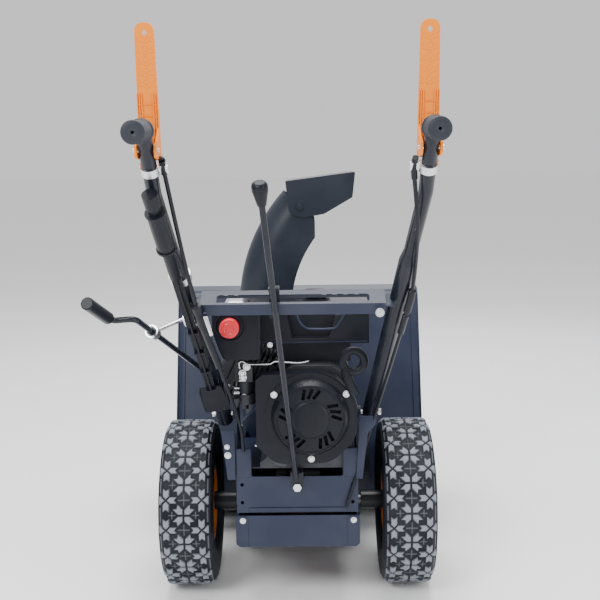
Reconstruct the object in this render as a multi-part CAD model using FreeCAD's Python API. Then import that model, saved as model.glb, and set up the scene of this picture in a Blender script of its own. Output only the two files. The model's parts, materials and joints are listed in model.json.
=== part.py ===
"""Two-stage walk-behind petrol snow blower, one STEP file per piece, in millimetres.

Frame: +Y forward (the bucket), -Y to the operator, +X to the operator's right, +Z up.
The origin is on the ground, on the mid plane, straight below the wheel axle.
"""
import FreeCAD, Part
import math
import os

V = FreeCAD.Vector
X_AXIS, Y_AXIS, Z_AXIS = V(1, 0, 0), V(0, 1, 0), V(0, 0, 1)

# ---- driving dimensions (mm) ----
SHEET = 2.5            # bent sheet steel
PLATE = 3.0            # frame and bucket side plates
FIT = 0.05             # radial play of a shaft in its bore
GAP = 0.3              # clearance between bodies that slide or turn past each other

TYRE_R = 165.0         # 13x4.10-6 tyre
TYRE_W = 104.0
WHEEL_X = 216.0        # tyre centre plane
RIM_R = 73.0           # rim barrel
RIM_W = 84.0
AXLE_R = 9.5
HUB_R = 18.0

BUCKET_W = 560.0       # clearing width over the side plates
BUCKET_TOP = 549.0
BUCKET_FRONT = 540.0   # front edge of the side plates
BUCKET_TOP_FRONT = 446.0
BACK_LEAN = 20.0       # degrees, back sheet from vertical
SIDE_EDGE = 8.0        # side plates stand proud of the wrap by this
SIDE_FLANGE = 15.0
AUGER_Y = 380.0
AUGER_Z = 168.0
AUGER_R = 147.0
WRAP_R = 155.0
AUGER_SHAFT_R = 9.5
AUGER_SLEEVE_R = 16.0
RIBBON_IN = 98.0
RIBBON_T = 4.0
RIBBON_TURNS = 1.25

DRUM_R = 152.0
DRUM_REAR = 118.0
IMPELLER_Z = 200.0
IMPELLER_R = 146.0
IMPELLER_SHAFT_R = 9.5
BLADE_REAR = 136.0
BLADE_FRONT = 214.0
BLADE_T = 4.0
BLADES = 4

CHUTE_X = -68.0
CHUTE_Y = 186.0
COLLAR_R = 53.0        # inside of the drum's outlet collar
COLLAR_TOP = 362.0
RING_R = 68.0
CHUTE_R = 57.0         # outside of the chute barrel
CHUTE_WALL = 3.0
CHUTE_BEND_Z = 540.0
CHUTE_BEND_R = 310.0
CHUTE_BEND = 43.0      # degrees
CHUTE_OPEN_Z = 430.0   # above this the chute is open on its inner side
RING_TEETH = 36

FRAME_X = 115.0        # outside of the frame's side plates
FRAME_REAR = -150.0
FRAME_BOTTOM = 136.0
DECK_TOP = 284.0
DECK_FRONT = 60.0
REAR_PLATE_BOTTOM = 195.0
REAR_PLATE_TOP = 266.0
UPRIGHT_TOP = 321.0
UPRIGHT_W = 29.0
PAN_BOTTOM = 128.0
PAN_TOP = 190.0
EAR_TOP = 398.0        # ears of the side plates that carry the handles

LOWER_R = 15.0         # lower handle tube
UPPER_R = 11.0         # upper handle tube
TUBE_WALL = 1.8
HANDLE_FOOT = V(138, -93, 362)
HANDLE_KNEE = V(198, -500, 813)
HANDLE_ELBOW = V(198, -582, 903)
HANDLE_END = V(193, -692, 899)
ELBOW_BEND_R = 32.0
KNEE_BEND_R = 90.0
JOINT_AT = 0.79        # share of the foot-to-knee run where the two tubes meet
SOCKET = 70.0          # length of neck inside the upper tube
GRIP_R = 15.5
GRIP_LENGTH = 95.0

LEVER_UP_TUBE = 36.0   # lever pin, measured back down the tube from the elbow corner
LEVER_STANDOFF = 35.0  # lever blade ahead of its pin
LEVER_W = 31.0
LEVER_T = 6.0
LEVER_BELOW = 18.0
LEVER_ABOVE = 172.0
LEVER_LEAN = 7.0       # degrees, blade leans back to the operator
PIN_R = 3.0

GATE_X = 149.0         # half length of the shift gate
GATE_NEAR = V(0, -371, 629)
GATE_FAR = V(0, -337, 647)
GATE_SLOT = 249.0
GATE_SLOT_W = 20.4
GATE_SLOT_OFF = -3.2   # slot nearer to the operator than the middle of the sheet
SHIFT_PIVOT_Z = 247.0
ROD_R = 5.0
SHIFT_FOOT = V(-1.8, -188, 275)
SHIFT_TOP = V(-43.5, -477, 806)
KNOB_R = 12.5

CRANK_X = 26.0         # engine crankshaft
CRANK_Z = 390.0
CRANKSHAFT_R = 12.5
FLYWHEEL_R = 77.0
HOUSING_X = 19.0
HOUSING_HALF_W = 93.0
HOUSING_BOTTOM = 301.0
HOUSING_TOP = 473.0
HOUSING_REAR = -184.0
HOUSING_FRONT = -150.0
RECOIL_R = 83.0           # flange of the recoil cover
RECOIL_CONE_R = 72.0
RECOIL_FACE_R = 64.0
RECOIL_REAR = -206.0
CYLINDER_TILT = 25.0   # degrees above horizontal, to the left

AUGER_BELT_Y = 98.0    # belt centre planes
DRIVE_BELT_Y = 78.0
BELT_W = 12.0
BELT_T = 8.0
AUGER_PULLEY_R = 88.0
ENGINE_AUGER_PULLEY_R = 32.0
ENGINE_DRIVE_PULLEY_R = 26.0
DISC_PULLEY_R = 42.0
DISC_Z = 224.0
DISC_R = 45.0
DISC_BACK = -8.0       # rear face of the friction disc
DISC_T = 6.0
HEX_Y = -60.0
HEX_R = 8.0            # hexagon, across corners / 2
FRICTION_R = 51.5
FRICTION_X = -9.3
CHAIN_X = 86.0
HEX_SPROCKET_R = 14.0
AXLE_SPROCKET_R = 28.0

CRANK_EYE = V(-231, -350, 581)   # guide of the chute crank
CRANK_WORM = V(-142, 150, 355)   # front end of the chute crank
CRANK_ROD_R = 5.0
CRANK_TAIL = 90.0
CRANK_ARM = 38.0
CRANK_SPINDLE = 100.0
CRANK_GRIP_R = 10.0


# ---- helpers ----
def box(x0, x1, y0, y1, z0, z1):
    return Part.makeBox(x1 - x0, y1 - y0, z1 - z0, V(x0, y0, z0))


def rod(radius, start, end):
    return Part.makeCylinder(radius, (end - start).Length, start, end - start)


def pipe(outer, inner, start, end):
    return rod(outer, start, end).cut(rod(inner, start, end))


def unit(vector):
    return V(vector).normalize()


def rounded_edges(points, radii):
    """Straight edges through the points, with a tangent arc (or a sharp corner for 0) at each inner one."""
    edges, last = [], points[0]
    for before, corner, after, radius in zip(points, points[1:], points[2:], radii):
        if radius == 0:
            edges.append(Part.makeLine(last, corner))
            last = corner
            continue
        back, ahead = unit(before - corner), unit(after - corner)
        half = back.getAngle(ahead) / 2
        reach = radius / math.tan(half)
        start, end = corner + back * reach, corner + ahead * reach
        middle = corner + unit(back + ahead) * (radius / math.sin(half) - radius)
        if (start - last).Length > 1e-6:
            edges.append(Part.makeLine(last, start))
        edges.append(Part.Arc(start, middle, end).toShape())
        last = end
    if (points[-1] - last).Length > 1e-6:
        edges.append(Part.makeLine(last, points[-1]))
    return edges


def closed_face(points, radii):
    """A face with a rounded outline; radii[i] rounds points[i], and points[0] stays sharp."""
    loop = list(points) + [points[0]]
    return Part.Face(Part.Wire(rounded_edges(loop, radii[1:])))


def prism_x(outline, radii, x0, x1):
    """A solid between x0 and x1 with a rounded outline of (y, z) points."""
    return closed_face([V(x0, y, z) for y, z in outline], radii).extrude(V(x1 - x0, 0, 0))


def prism_y(outline, radii, y0, y1):
    return closed_face([V(x, y0, z) for x, z in outline], radii).extrude(V(0, y1 - y0, 0))


def prism_z(outline, radii, z0, z1):
    return closed_face([V(x, y, z0) for x, y in outline], radii).extrude(V(0, 0, z1 - z0))


def swept_rod(points, radii, radius):
    """A round rod along straight runs joined by tangent arcs."""
    path = Part.Wire(rounded_edges(points, radii))
    circle = Part.Wire(Part.makeCircle(radius, points[0], points[1] - points[0]))
    return path.makePipeShell([circle], True, False)


def fuse(shapes):
    first, rest = shapes[0], shapes[1:]
    return first.multiFuse(rest).removeSplitter() if rest else first


def mirrored(shape):
    return shape.mirror(V(0, 0, 0), X_AXIS)


def hexagon(radius, start, end):
    """A hexagonal bar from start to end, radius across the corners."""
    axis = unit(end - start)
    side = unit(axis.cross(Z_AXIS if abs(axis.z) < 0.9 else X_AXIS))
    up = axis.cross(side)
    ring = [start + side * (radius * math.cos(math.radians(60 * k)))
            + up * (radius * math.sin(math.radians(60 * k))) for k in range(7)]
    return Part.Face(Part.makePolygon(ring)).extrude(end - start)


def bolt(at, direction, shank, length, head=None):
    """A hexagon bolt: its washer face is at the point and its shank runs along the direction."""
    direction = unit(direction)
    head = head or shank * 1.65
    solids = [hexagon(head, at - direction * shank * 1.3, at), rod(shank, at, at + direction * length)]
    return fuse(solids)


def rounded_box(x0, x1, y0, y1, z0, z1, radius):
    solid = box(x0, x1, y0, y1, z0, z1)
    return solid.makeFillet(radius, solid.Edges)


def save(name, shape):
    solids = shape.Solids
    for solid in solids:
        if solid.Volume < 0:
            solid.reverse()
    kept = solids[0] if len(solids) == 1 else Part.makeCompound(solids)
    kept.exportStep("parts/" + name + ".step")
    nodes[name] = kept


# ---- bucket ----
def wrap_points(offset):
    """Corners of the bucket's section, offset outwards: lip, lower corner, top corner, top front."""
    radius = WRAP_R + offset
    lean = math.radians(BACK_LEAN)
    tangent = (AUGER_Y - radius * math.cos(lean), AUGER_Z + radius * math.sin(lean))
    floor, top = AUGER_Z - radius, BUCKET_TOP - SHEET + offset
    low = tangent[0] - (tangent[1] - floor) * math.tan(lean)
    high = tangent[0] + (top - tangent[1]) * math.tan(lean)
    return [(SCRAPER_Y, floor), (low, floor), (high, top), (BUCKET_TOP_FRONT, top)]


SCRAPER_Y = BUCKET_FRONT - 22.0
CORNER_R = 28.0


def bucket_volume(offset, x_half):
    """The solid inside of the bucket, with its section offset outwards."""
    lip, low, high, front = wrap_points(offset)
    outline = [(BUCKET_FRONT, lip[1]), low, high, (front[0] + 5, front[1]), (BUCKET_FRONT, 330)]
    return prism_x(outline, [0.0, WRAP_R + offset, CORNER_R + offset, 6.0, 40.0], -x_half, x_half)


def strip_section(inner, outer, x0, x1):
    """A bent sheet that follows the bucket's section between two offsets."""
    inside = [V(x0, y, z) for y, z in wrap_points(inner)]
    outside = [V(x0, y, z) for y, z in wrap_points(outer)]
    first = rounded_edges(inside, [WRAP_R + inner, CORNER_R + inner])
    second = rounded_edges(outside, [WRAP_R + outer, CORNER_R + outer])
    ends = [Part.makeLine(inside[0], outside[0]), Part.makeLine(inside[-1], outside[-1])]
    wire = Part.Wire(Part.__sortEdges__(first + second + ends))
    return Part.Face(wire).extrude(V(x1 - x0, 0, 0))


def make_bucket():
    half = BUCKET_W / 2
    wrap = strip_section(0, SHEET, -half + PLATE, half - PLATE)
    wrap = wrap.cut(rod(DRUM_R, V(0, DRUM_REAR, IMPELLER_Z), V(0, AUGER_Y - 20, IMPELLER_Z)))
    save("bucket_wrap", wrap)
    plate = bucket_volume(SIDE_EDGE, half).common(box(half - PLATE, half, 0, 700, 0, 700))
    flange = strip_section(SHEET, 2 * SHEET, half - PLATE - SIDE_FLANGE, half - PLATE + 0.5)
    bore = rod(AUGER_SHAFT_R + FIT, V(half - 20, AUGER_Y, AUGER_Z), V(half + 20, AUGER_Y, AUGER_Z))
    flange = flange.cut(rod(DRUM_R + SHEET + 1, V(0, 0, IMPELLER_Z), V(0, AUGER_Y, IMPELLER_Z)))
    bearing = fuse([rod(24, V(half - 0.5, AUGER_Y, AUGER_Z), V(half + 4, AUGER_Y, AUGER_Z)),
                    rod(AUGER_SHAFT_R + 5, V(half - PLATE, AUGER_Y, AUGER_Z), V(half + 8, AUGER_Y, AUGER_Z))])
    side = fuse([plate, flange, bearing]).cut(bore)
    save("bucket_side_right", side)
    save("bucket_side_left", mirrored(side))
    floor = AUGER_Z - WRAP_R - SHEET
    inner = half - PLATE
    scraper = box(SIDE_FLANGE + 1 - inner, inner - SIDE_FLANGE - 1, SCRAPER_Y - 45, BUCKET_FRONT - 8, floor - 6, floor)
    holes = [rod(4.2, V(x, SCRAPER_Y - 25, 0), V(x, SCRAPER_Y - 25, 20)) for x in (-200, -70, 70, 200)]
    save("scraper_bar", scraper.cut(Part.makeCompound(holes)))
    shoe_outline = [(400, 80), (400, 6), (430, 0), (500, 0), (530, 6), (530, 80)]
    shoe = prism_x(shoe_outline, [0, 12, 20, 20, 12, 8], half, half + 5)
    foot = prism_x([(402, 8), (430, 0), (500, 0), (528, 8), (500, 5), (430, 5)], [0, 20, 20, 0, 18, 18],
                   half, half + 32)
    slots = [box(half - 1, half + 6, 420, 430, 30, 62), box(half - 1, half + 6, 500, 510, 30, 62)]
    shoe = fuse([shoe, foot]).cut(Part.makeCompound(slots))
    save("skid_shoes", Part.makeCompound([shoe, mirrored(shoe)]))


def make_drum():
    front = AUGER_Y - 30
    centre = V(0, 0, IMPELLER_Z)
    outer = DRUM_R + SHEET
    shell = pipe(outer, DRUM_R, centre + V(0, DRUM_REAR, 0), centre + V(0, front, 0))
    shell = shell.cut(bucket_volume(SHEET, BUCKET_W / 2))
    wall = rod(outer, centre + V(0, DRUM_REAR, 0), centre + V(0, DRUM_REAR + SHEET, 0))
    collar_axis = V(CHUTE_X, CHUTE_Y, 0)
    low, top = V(0, 0, IMPELLER_Z + 60), V(0, 0, COLLAR_TOP)
    collar = rod(COLLAR_R + PLATE, collar_axis + low, collar_axis + top)
    collar = collar.cut(rod(outer - 0.5, centre + V(0, DRUM_REAR - 9, 0), centre + V(0, front, 0)))
    flange = rod(RING_R, collar_axis + top - V(0, 0, PLATE), collar_axis + top)
    outlet = rod(COLLAR_R, collar_axis + low, collar_axis + top + V(0, 0, 1))
    bearing = rod(26, centre + V(0, DRUM_REAR - 2, 0), centre + V(0, DRUM_REAR + 14, 0))
    bore = rod(IMPELLER_SHAFT_R + FIT, centre, centre + V(0, 200, 0))
    drum = fuse([shell, wall, collar, flange]).cut(outlet)
    drum = drum.fuse(bearing).removeSplitter().cut(bore)
    save("impeller_drum", drum)


# ---- impeller and augers ----
def ribbon(x0, x1, turns, phase, hand):
    """A flat helical ribbon round the X axis, of flat triangles between its four edges."""
    steps = int(30 * turns)
    rows = []
    for i in range(steps + 1):
        share = i / steps
        angle = phase + hand * 2 * math.pi * turns * share
        x = x0 + (x1 - x0) * share
        c, s = math.cos(angle), math.sin(angle)
        rows.append([V(x + dx, AUGER_Y + r * c, AUGER_Z + r * s)
                     for r, dx in ((RIBBON_IN, 0), (AUGER_R, 0), (AUGER_R, RIBBON_T), (RIBBON_IN, RIBBON_T))])
    faces = []
    for a, b in zip(rows, rows[1:]):
        for k in range(4):
            j = (k + 1) % 4
            faces.append(Part.Face(Part.makePolygon([a[k], a[j], b[j], a[k]])))
            faces.append(Part.Face(Part.makePolygon([a[k], b[j], b[k], a[k]])))
    for end in (rows[0], rows[-1]):
        faces.append(Part.Face(Part.makePolygon(end + [end[0]])))
    solid = Part.Solid(Part.Shell(faces))
    if solid.Volume < 0:
        solid.reverse()
    return solid


def make_augers():
    half = BUCKET_W / 2
    gear_half = 40.0
    outer_end = half - PLATE - 9
    span = (gear_half + 6, outer_end - 6)
    flight = ribbon(span[0], span[1], RIBBON_TURNS, math.radians(20), 1)
    start, end = V(gear_half + 2, AUGER_Y, AUGER_Z), V(outer_end, AUGER_Y, AUGER_Z)
    parts = [pipe(AUGER_SLEEVE_R, AUGER_SHAFT_R, start, end), flight]
    for share in (0.1, 0.5, 0.9):
        x = span[0] + (span[1] - span[0]) * share
        turn = 20 + 360 * RIBBON_TURNS * share
        arm = box(x, x + RIBBON_T, AUGER_Y + AUGER_SLEEVE_R - 2, AUGER_Y + RIBBON_IN + 14,
                  AUGER_Z - 14, AUGER_Z + 14)
        arm.rotate(V(0, AUGER_Y, AUGER_Z), X_AXIS, turn)
        parts.append(arm)
    right = fuse(parts)
    save("auger_right", right)
    save("auger_left", mirrored(right))
    shaft = rod(AUGER_SHAFT_R, V(-half - 14, AUGER_Y, AUGER_Z), V(half + 14, AUGER_Y, AUGER_Z))
    save("auger_shaft", shaft)
    case = fuse([
        rod(36, V(-gear_half + 14, AUGER_Y, AUGER_Z), V(gear_half - 14, AUGER_Y, AUGER_Z)),
        rod(21, V(-gear_half, AUGER_Y, AUGER_Z), V(gear_half, AUGER_Y, AUGER_Z)),
        rod(22, V(0, AUGER_Y - 58, IMPELLER_Z), V(0, AUGER_Y + 42, IMPELLER_Z)),
    ])
    case = case.cut(rod(AUGER_SHAFT_R + FIT, V(-60, AUGER_Y, AUGER_Z), V(60, AUGER_Y, AUGER_Z)))
    case = case.cut(rod(IMPELLER_SHAFT_R + FIT, V(0, 200, IMPELLER_Z), V(0, AUGER_Y + 30, IMPELLER_Z)))
    save("auger_gearbox", case)


def pulley(radius, centre, width=BELT_W + 6, bore=0.0):
    """A V-belt pulley on the Y axis: two flanges and a groove floor."""
    y0, y1 = centre.y - width / 2, centre.y + width / 2
    low, high = V(centre.x, y0, centre.z), V(centre.x, y1, centre.z)
    body = rod(radius, low, high)
    flanges = [rod(radius + BELT_T, low, low + V(0, 2, 0)), rod(radius + BELT_T, high - V(0, 2, 0), high)]
    body = fuse([body] + flanges)
    return body.cut(rod(bore, low - Y_AXIS, high + Y_AXIS)) if bore else body


def make_impeller():
    centre = V(0, 0, IMPELLER_Z)
    shaft = rod(IMPELLER_SHAFT_R, centre + V(0, AUGER_BELT_Y - 11, 0), centre + V(0, AUGER_Y + 28, 0))
    wheel = pulley(AUGER_PULLEY_R, V(0, AUGER_BELT_Y, IMPELLER_Z))
    holes = []
    for k in range(4):
        angle = math.radians(45 + 90 * k)
        at = V(50 * math.cos(angle), 0, IMPELLER_Z + 50 * math.sin(angle))
        holes.append(rod(17, at + V(0, 60, 0), at + V(0, 130, 0)))
    wheel = wheel.cut(Part.makeCompound(holes))
    hub = rod(24, centre + V(0, BLADE_REAR, 0), centre + V(0, BLADE_FRONT, 0))
    parts = [shaft, wheel, hub]
    disc = rod(70, centre + V(0, BLADE_REAR, 0), centre + V(0, BLADE_REAR + BLADE_T, 0))
    parts.append(disc)
    for k in range(BLADES):
        blade = box(15, IMPELLER_R - 3, BLADE_REAR, BLADE_FRONT, IMPELLER_Z - BLADE_T / 2,
                    IMPELLER_Z + BLADE_T / 2)
        scoop = box(IMPELLER_R - 28, IMPELLER_R - 24, BLADE_REAR, BLADE_FRONT, IMPELLER_Z,
                    IMPELLER_Z + 24)
        scoop.rotate(V(IMPELLER_R - 28, 0, IMPELLER_Z), Y_AXIS, 48)
        vane = blade.fuse(scoop)
        vane.rotate(centre, Y_AXIS, 360 / BLADES * k + 20)
        parts.append(vane)
    impeller = fuse(parts)
    limit = rod(IMPELLER_R, centre + V(0, 60, 0), centre + V(0, 500, 0))
    save("impeller", impeller.common(limit))


# ---- wheels ----
def make_wheels():
    axle = rod(AXLE_R, V(-WHEEL_X - 46, 0, TYRE_R), V(WHEEL_X + 46, 0, TYRE_R))
    sprocket = rod(AXLE_SPROCKET_R, V(CHAIN_X - 3, 0, TYRE_R), V(CHAIN_X + 3, 0, TYRE_R))
    hub = rod(AXLE_R + 8, V(CHAIN_X - 10, 0, TYRE_R), V(CHAIN_X + 10, 0, TYRE_R))
    save("axle", fuse([axle, sprocket, hub]))

    half, wall = RIM_W / 2, 3.0
    lip, bed, well = RIM_R + 9, RIM_R - wall, RIM_R - wall - 8
    barrel = [(-half, lip), (-half, bed), (-half + 8, bed), (-half + 20, well), (2, well), (-4, HUB_R + 16),
              (-4, HUB_R), (-half - 46, HUB_R), (-half - 46, AXLE_R), (half - 6, AXLE_R), (half - 6, HUB_R),
              (2, HUB_R), (2, HUB_R + 14), (8, well), (half - 20, well), (half - 8, bed), (half, bed),
              (half, lip), (half - wall, lip), (half - wall, RIM_R), (half - 9, RIM_R),
              (half - 21, RIM_R - 8), (21 - half, RIM_R - 8), (9 - half, RIM_R), (wall - half, RIM_R),
              (wall - half, lip)]
    points = [V(WHEEL_X + x, 0, TYRE_R + r) for x, r in barrel]
    section = Part.Face(Part.makePolygon(points + [points[0]]))
    rim = section.revolve(V(0, 0, TYRE_R), X_AXIS, 360)
    windows = []
    for k in range(5):
        angle = math.radians(90 + 72 * k)
        y, z = 45 * math.cos(angle), TYRE_R + 45 * math.sin(angle)
        windows.append(rod(10, V(WHEEL_X - 15, y, z), V(WHEEL_X + 20, y, z)))
    rim = rim.cut(Part.makeCompound(windows))
    save("rim_right", rim)
    save("rim_left", mirrored(rim))

    width, bead = TYRE_W / 2, half - wall
    outline = [(-bead, RIM_R + GAP), (-bead, RIM_R + 12), (-width, RIM_R + 34), (-width + 1, TYRE_R - 18),
               (-width + 8, TYRE_R), (width - 8, TYRE_R), (width - 1, TYRE_R - 18), (width, RIM_R + 34),
               (bead, RIM_R + 12), (bead, RIM_R + GAP), (bead - 14, RIM_R + GAP), (width - 10, RIM_R + 34),
               (width - 12, TYRE_R - 16), (-width + 12, TYRE_R - 16), (-width + 10, RIM_R + 34),
               (-bead + 14, RIM_R + GAP)]
    radii = [0, 4, 14, 20, 6, 6, 20, 14, 4, 0, 4, 12, 8, 8, 12, 4]
    points = [V(WHEEL_X + x, 0, TYRE_R + r) for x, r in outline]
    edges = rounded_edges(points + [points[0]], [max(r, 0.5) for r in radii[1:]])
    tyre = Part.Face(Part.Wire(edges)).revolve(V(0, 0, TYRE_R), X_AXIS, 360)
    save("tyre_right", tyre)
    save("tyre_left", mirrored(tyre))


# ---- frame ----
def make_frame():
    inner = FRAME_X - PLATE
    outline = [(FRAME_REAR, FRAME_BOTTOM), (DRUM_REAR - GAP, FRAME_BOTTOM), (DRUM_REAR - GAP, DECK_TOP - 4),
               (-40, DECK_TOP - 4), (-74, EAR_TOP), (-140, EAR_TOP), (FRAME_REAR, DECK_TOP)]
    side = prism_x(outline, [0, 8, 8, 30, 12, 12, 8], inner, FRAME_X)
    bearing = rod(17, V(inner - 6, 0, TYRE_R), V(FRAME_X + 4, 0, TYRE_R))
    side = fuse([side, bearing]).cut(rod(AXLE_R + FIT, V(80, 0, TYRE_R), V(140, 0, TYRE_R)))
    side = side.cut(rod(HEX_R + FIT, V(80, HEX_Y, DISC_Z), V(140, HEX_Y, DISC_Z)))
    spacer = rod(12, V(FRAME_X - 1, HANDLE_BOLT.y, HANDLE_BOLT.z),
                 V(HANDLE_BOLT.x - LOWER_R - 3, HANDLE_BOLT.y, HANDLE_BOLT.z))
    side = fuse([side, spacer]).cut(rod(4.2, V(100, HANDLE_BOLT.y, HANDLE_BOLT.z),
                                        V(160, HANDLE_BOLT.y, HANDLE_BOLT.z)))
    save("frame_sides", Part.makeCompound([side, mirrored(side)]))

    deck = box(-inner, inner, FRAME_REAR + 12, DECK_FRONT, DECK_TOP - PLATE - 4, DECK_TOP - 4)
    slot = prism_z([(CRANK_X - 60, -120), (CRANK_X + 60, -120), (CRANK_X + 60, -40), (CRANK_X - 60, -40)],
                   [0, 10, 10, 10], DECK_TOP - 20, DECK_TOP + 2)
    hanger = box(-inner, inner, 30, 36, 205, DECK_TOP - 5)
    window = box(-60, 60, 29, 37, DISC_Z + 22, DECK_TOP - 10)
    boss = rod(16, V(0, 24, DISC_Z), V(0, 44, DISC_Z))
    deck = fuse([deck.cut(slot), hanger.cut(window), boss])
    save("engine_deck", deck.cut(rod(8 + FIT, V(0, 0, DISC_Z), V(0, 60, DISC_Z))))

    rear = [(-FRAME_X, REAR_PLATE_BOTTOM), (FRAME_X, REAR_PLATE_BOTTOM), (FRAME_X, UPRIGHT_TOP),
            (FRAME_X - UPRIGHT_W, UPRIGHT_TOP), (FRAME_X - UPRIGHT_W, REAR_PLATE_TOP),
            (UPRIGHT_W - FRAME_X, REAR_PLATE_TOP), (UPRIGHT_W - FRAME_X, UPRIGHT_TOP), (-FRAME_X, UPRIGHT_TOP)]
    plate = prism_y(rear, [0, 3, 3, 2, 4, 4, 2, 3], FRAME_REAR - PLATE, FRAME_REAR)
    holes = [rod(HOLE_R, V(x, FRAME_REAR - 9, z), V(x, FRAME_REAR + 9, z))
             for x in (-HOLE_X, HOLE_X) for z in HOLE_Z]
    holes.append(rod(5.2, V(0, FRAME_REAR - 9, SHIFT_PIVOT_Z), V(0, FRAME_REAR + 9, SHIFT_PIVOT_Z)))
    save("rear_plate", plate.cut(Part.makeCompound(holes)))

    wide = FRAME_X + SHEET + GAP
    rear_y = FRAME_REAR - PLATE - SHEET - GAP
    outer = box(-wide, wide, rear_y, DECK_FRONT, PAN_BOTTOM, PAN_TOP)
    outer = outer.makeFillet(10, [e for e in outer.Edges if abs(e.CenterOfMass.z - PAN_BOTTOM) < 0.1
                                  and abs(abs(e.CenterOfMass.x) - wide) < 0.1])
    inside = box(-wide + SHEET, wide - SHEET, rear_y + SHEET, DECK_FRONT + 1, PAN_BOTTOM + SHEET, PAN_TOP + 1)
    inside = inside.makeFillet(10 - SHEET, [e for e in inside.Edges
                                            if abs(e.CenterOfMass.z - PAN_BOTTOM - SHEET) < 0.1
                                            and abs(abs(e.CenterOfMass.x) - wide + SHEET) < 0.1])
    relief = box(-wide - 1, wide + 1, FRAME_REAR + 14, DECK_FRONT + 1, TYRE_R - 20, PAN_TOP + 1)
    holes = [rod(3.05, V(x, rear_y - 5, PAN_BOLT_Z), V(x, rear_y + 5, PAN_BOLT_Z)) for x in PAN_BOLT_X]
    save("belly_pan", outer.cut(inside).cut(relief).cut(Part.makeCompound(holes)))


def make_belt_cover():
    outline = [(-92, DECK_TOP), (104, DECK_TOP), (112, 400), (84, 452), (-30, 452), (-70, 420)]
    radii = [0, 14, 24, 26, 26, 20]
    outer = prism_y(outline, radii, DECK_FRONT + 4, DRUM_REAR - 1)
    inner_outline = [(x * 0.965, DECK_TOP - 1 if z == DECK_TOP else z - 4) for x, z in outline]
    inner = prism_y(inner_outline, [0] + [r - 3 for r in radii[1:]], DECK_FRONT + 7, DRUM_REAR + 9)
    mouth = rod(CRANKSHAFT_R + 5, V(CRANK_X, 0, CRANK_Z), V(CRANK_X, 80, CRANK_Z))
    save("belt_cover", outer.cut(inner).cut(mouth))


# ---- handles ----
HANDLE_RUN = HANDLE_KNEE - HANDLE_FOOT
HANDLE_BOLT = HANDLE_FOOT + HANDLE_RUN * 0.035
HOLE_R = 3.3
HOLE_X = 104.5
HOLE_Z = (215.0, 250.0)
PAN_BOLT_X = (-104.0, 106.0)
PAN_BOLT_Z = 181.0


def make_handles():
    along = unit(HANDLE_RUN)
    meet = HANDLE_FOOT + HANDLE_RUN * JOINT_AT
    taper = meet - along * 24
    bore = UPPER_R - TUBE_WALL
    neck_end = meet + along * SOCKET
    cone = Part.makeCone(LOWER_R, UPPER_R, 24, taper, along)
    body = fuse([rod(LOWER_R, HANDLE_FOOT, taper), cone, rod(bore - FIT, meet, neck_end)])
    hollow = fuse([rod(LOWER_R - 2, HANDLE_FOOT - along, taper - along * 8),
                   rod(bore - 2, taper - along * 9, neck_end + along)])
    pin = JOINT_PIN
    drill = [rod(4.2, V(100, HANDLE_BOLT.y, HANDLE_BOLT.z), V(170, HANDLE_BOLT.y, HANDLE_BOLT.z)),
             rod(3.2, pin - V(0, 30, 0), pin + V(0, 30, 0))]
    lower = body.cut(hollow).cut(Part.makeCompound(drill))
    save("handle_lower_right", lower)
    save("handle_lower_left", mirrored(lower))

    path = [meet, HANDLE_KNEE, HANDLE_ELBOW, HANDLE_END]
    radii = [KNEE_BEND_R, ELBOW_BEND_R]
    solid = swept_rod(path, radii, UPPER_R)
    path[0] = meet - along
    path[-1] = HANDLE_END + unit(HANDLE_END - HANDLE_ELBOW)
    upper = solid.cut(swept_rod(path, radii, bore))
    drill = [rod(PIN_R + FIT, LEVER_PIN - V(30, 0, 0), LEVER_PIN + V(30, 0, 0)), drill[1]]
    upper = upper.cut(Part.makeCompound(drill))
    save("handle_upper_right", upper)
    save("handle_upper_left", mirrored(upper))

    back = unit(HANDLE_END - HANDLE_ELBOW)
    front = HANDLE_END - back * (GRIP_LENGTH - 4)
    end = HANDLE_END + back * 4
    grip = rod(GRIP_R, front, end)
    collar = rod(GRIP_R + 2, front, front + back * 6)
    grip = fuse([grip, collar]).cut(rod(UPPER_R + FIT, front - back, HANDLE_END))
    grip = grip.cut(rod(2.5, HANDLE_END - back, end + back))
    save("grip_right", grip)
    save("grip_left", mirrored(grip))


UP_TUBE = unit(HANDLE_ELBOW - HANDLE_KNEE)
LEVER_PIN = HANDLE_ELBOW - UP_TUBE * LEVER_UP_TUBE
JOINT_PIN = HANDLE_FOOT + HANDLE_RUN * (JOINT_AT + 0.08)


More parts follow.
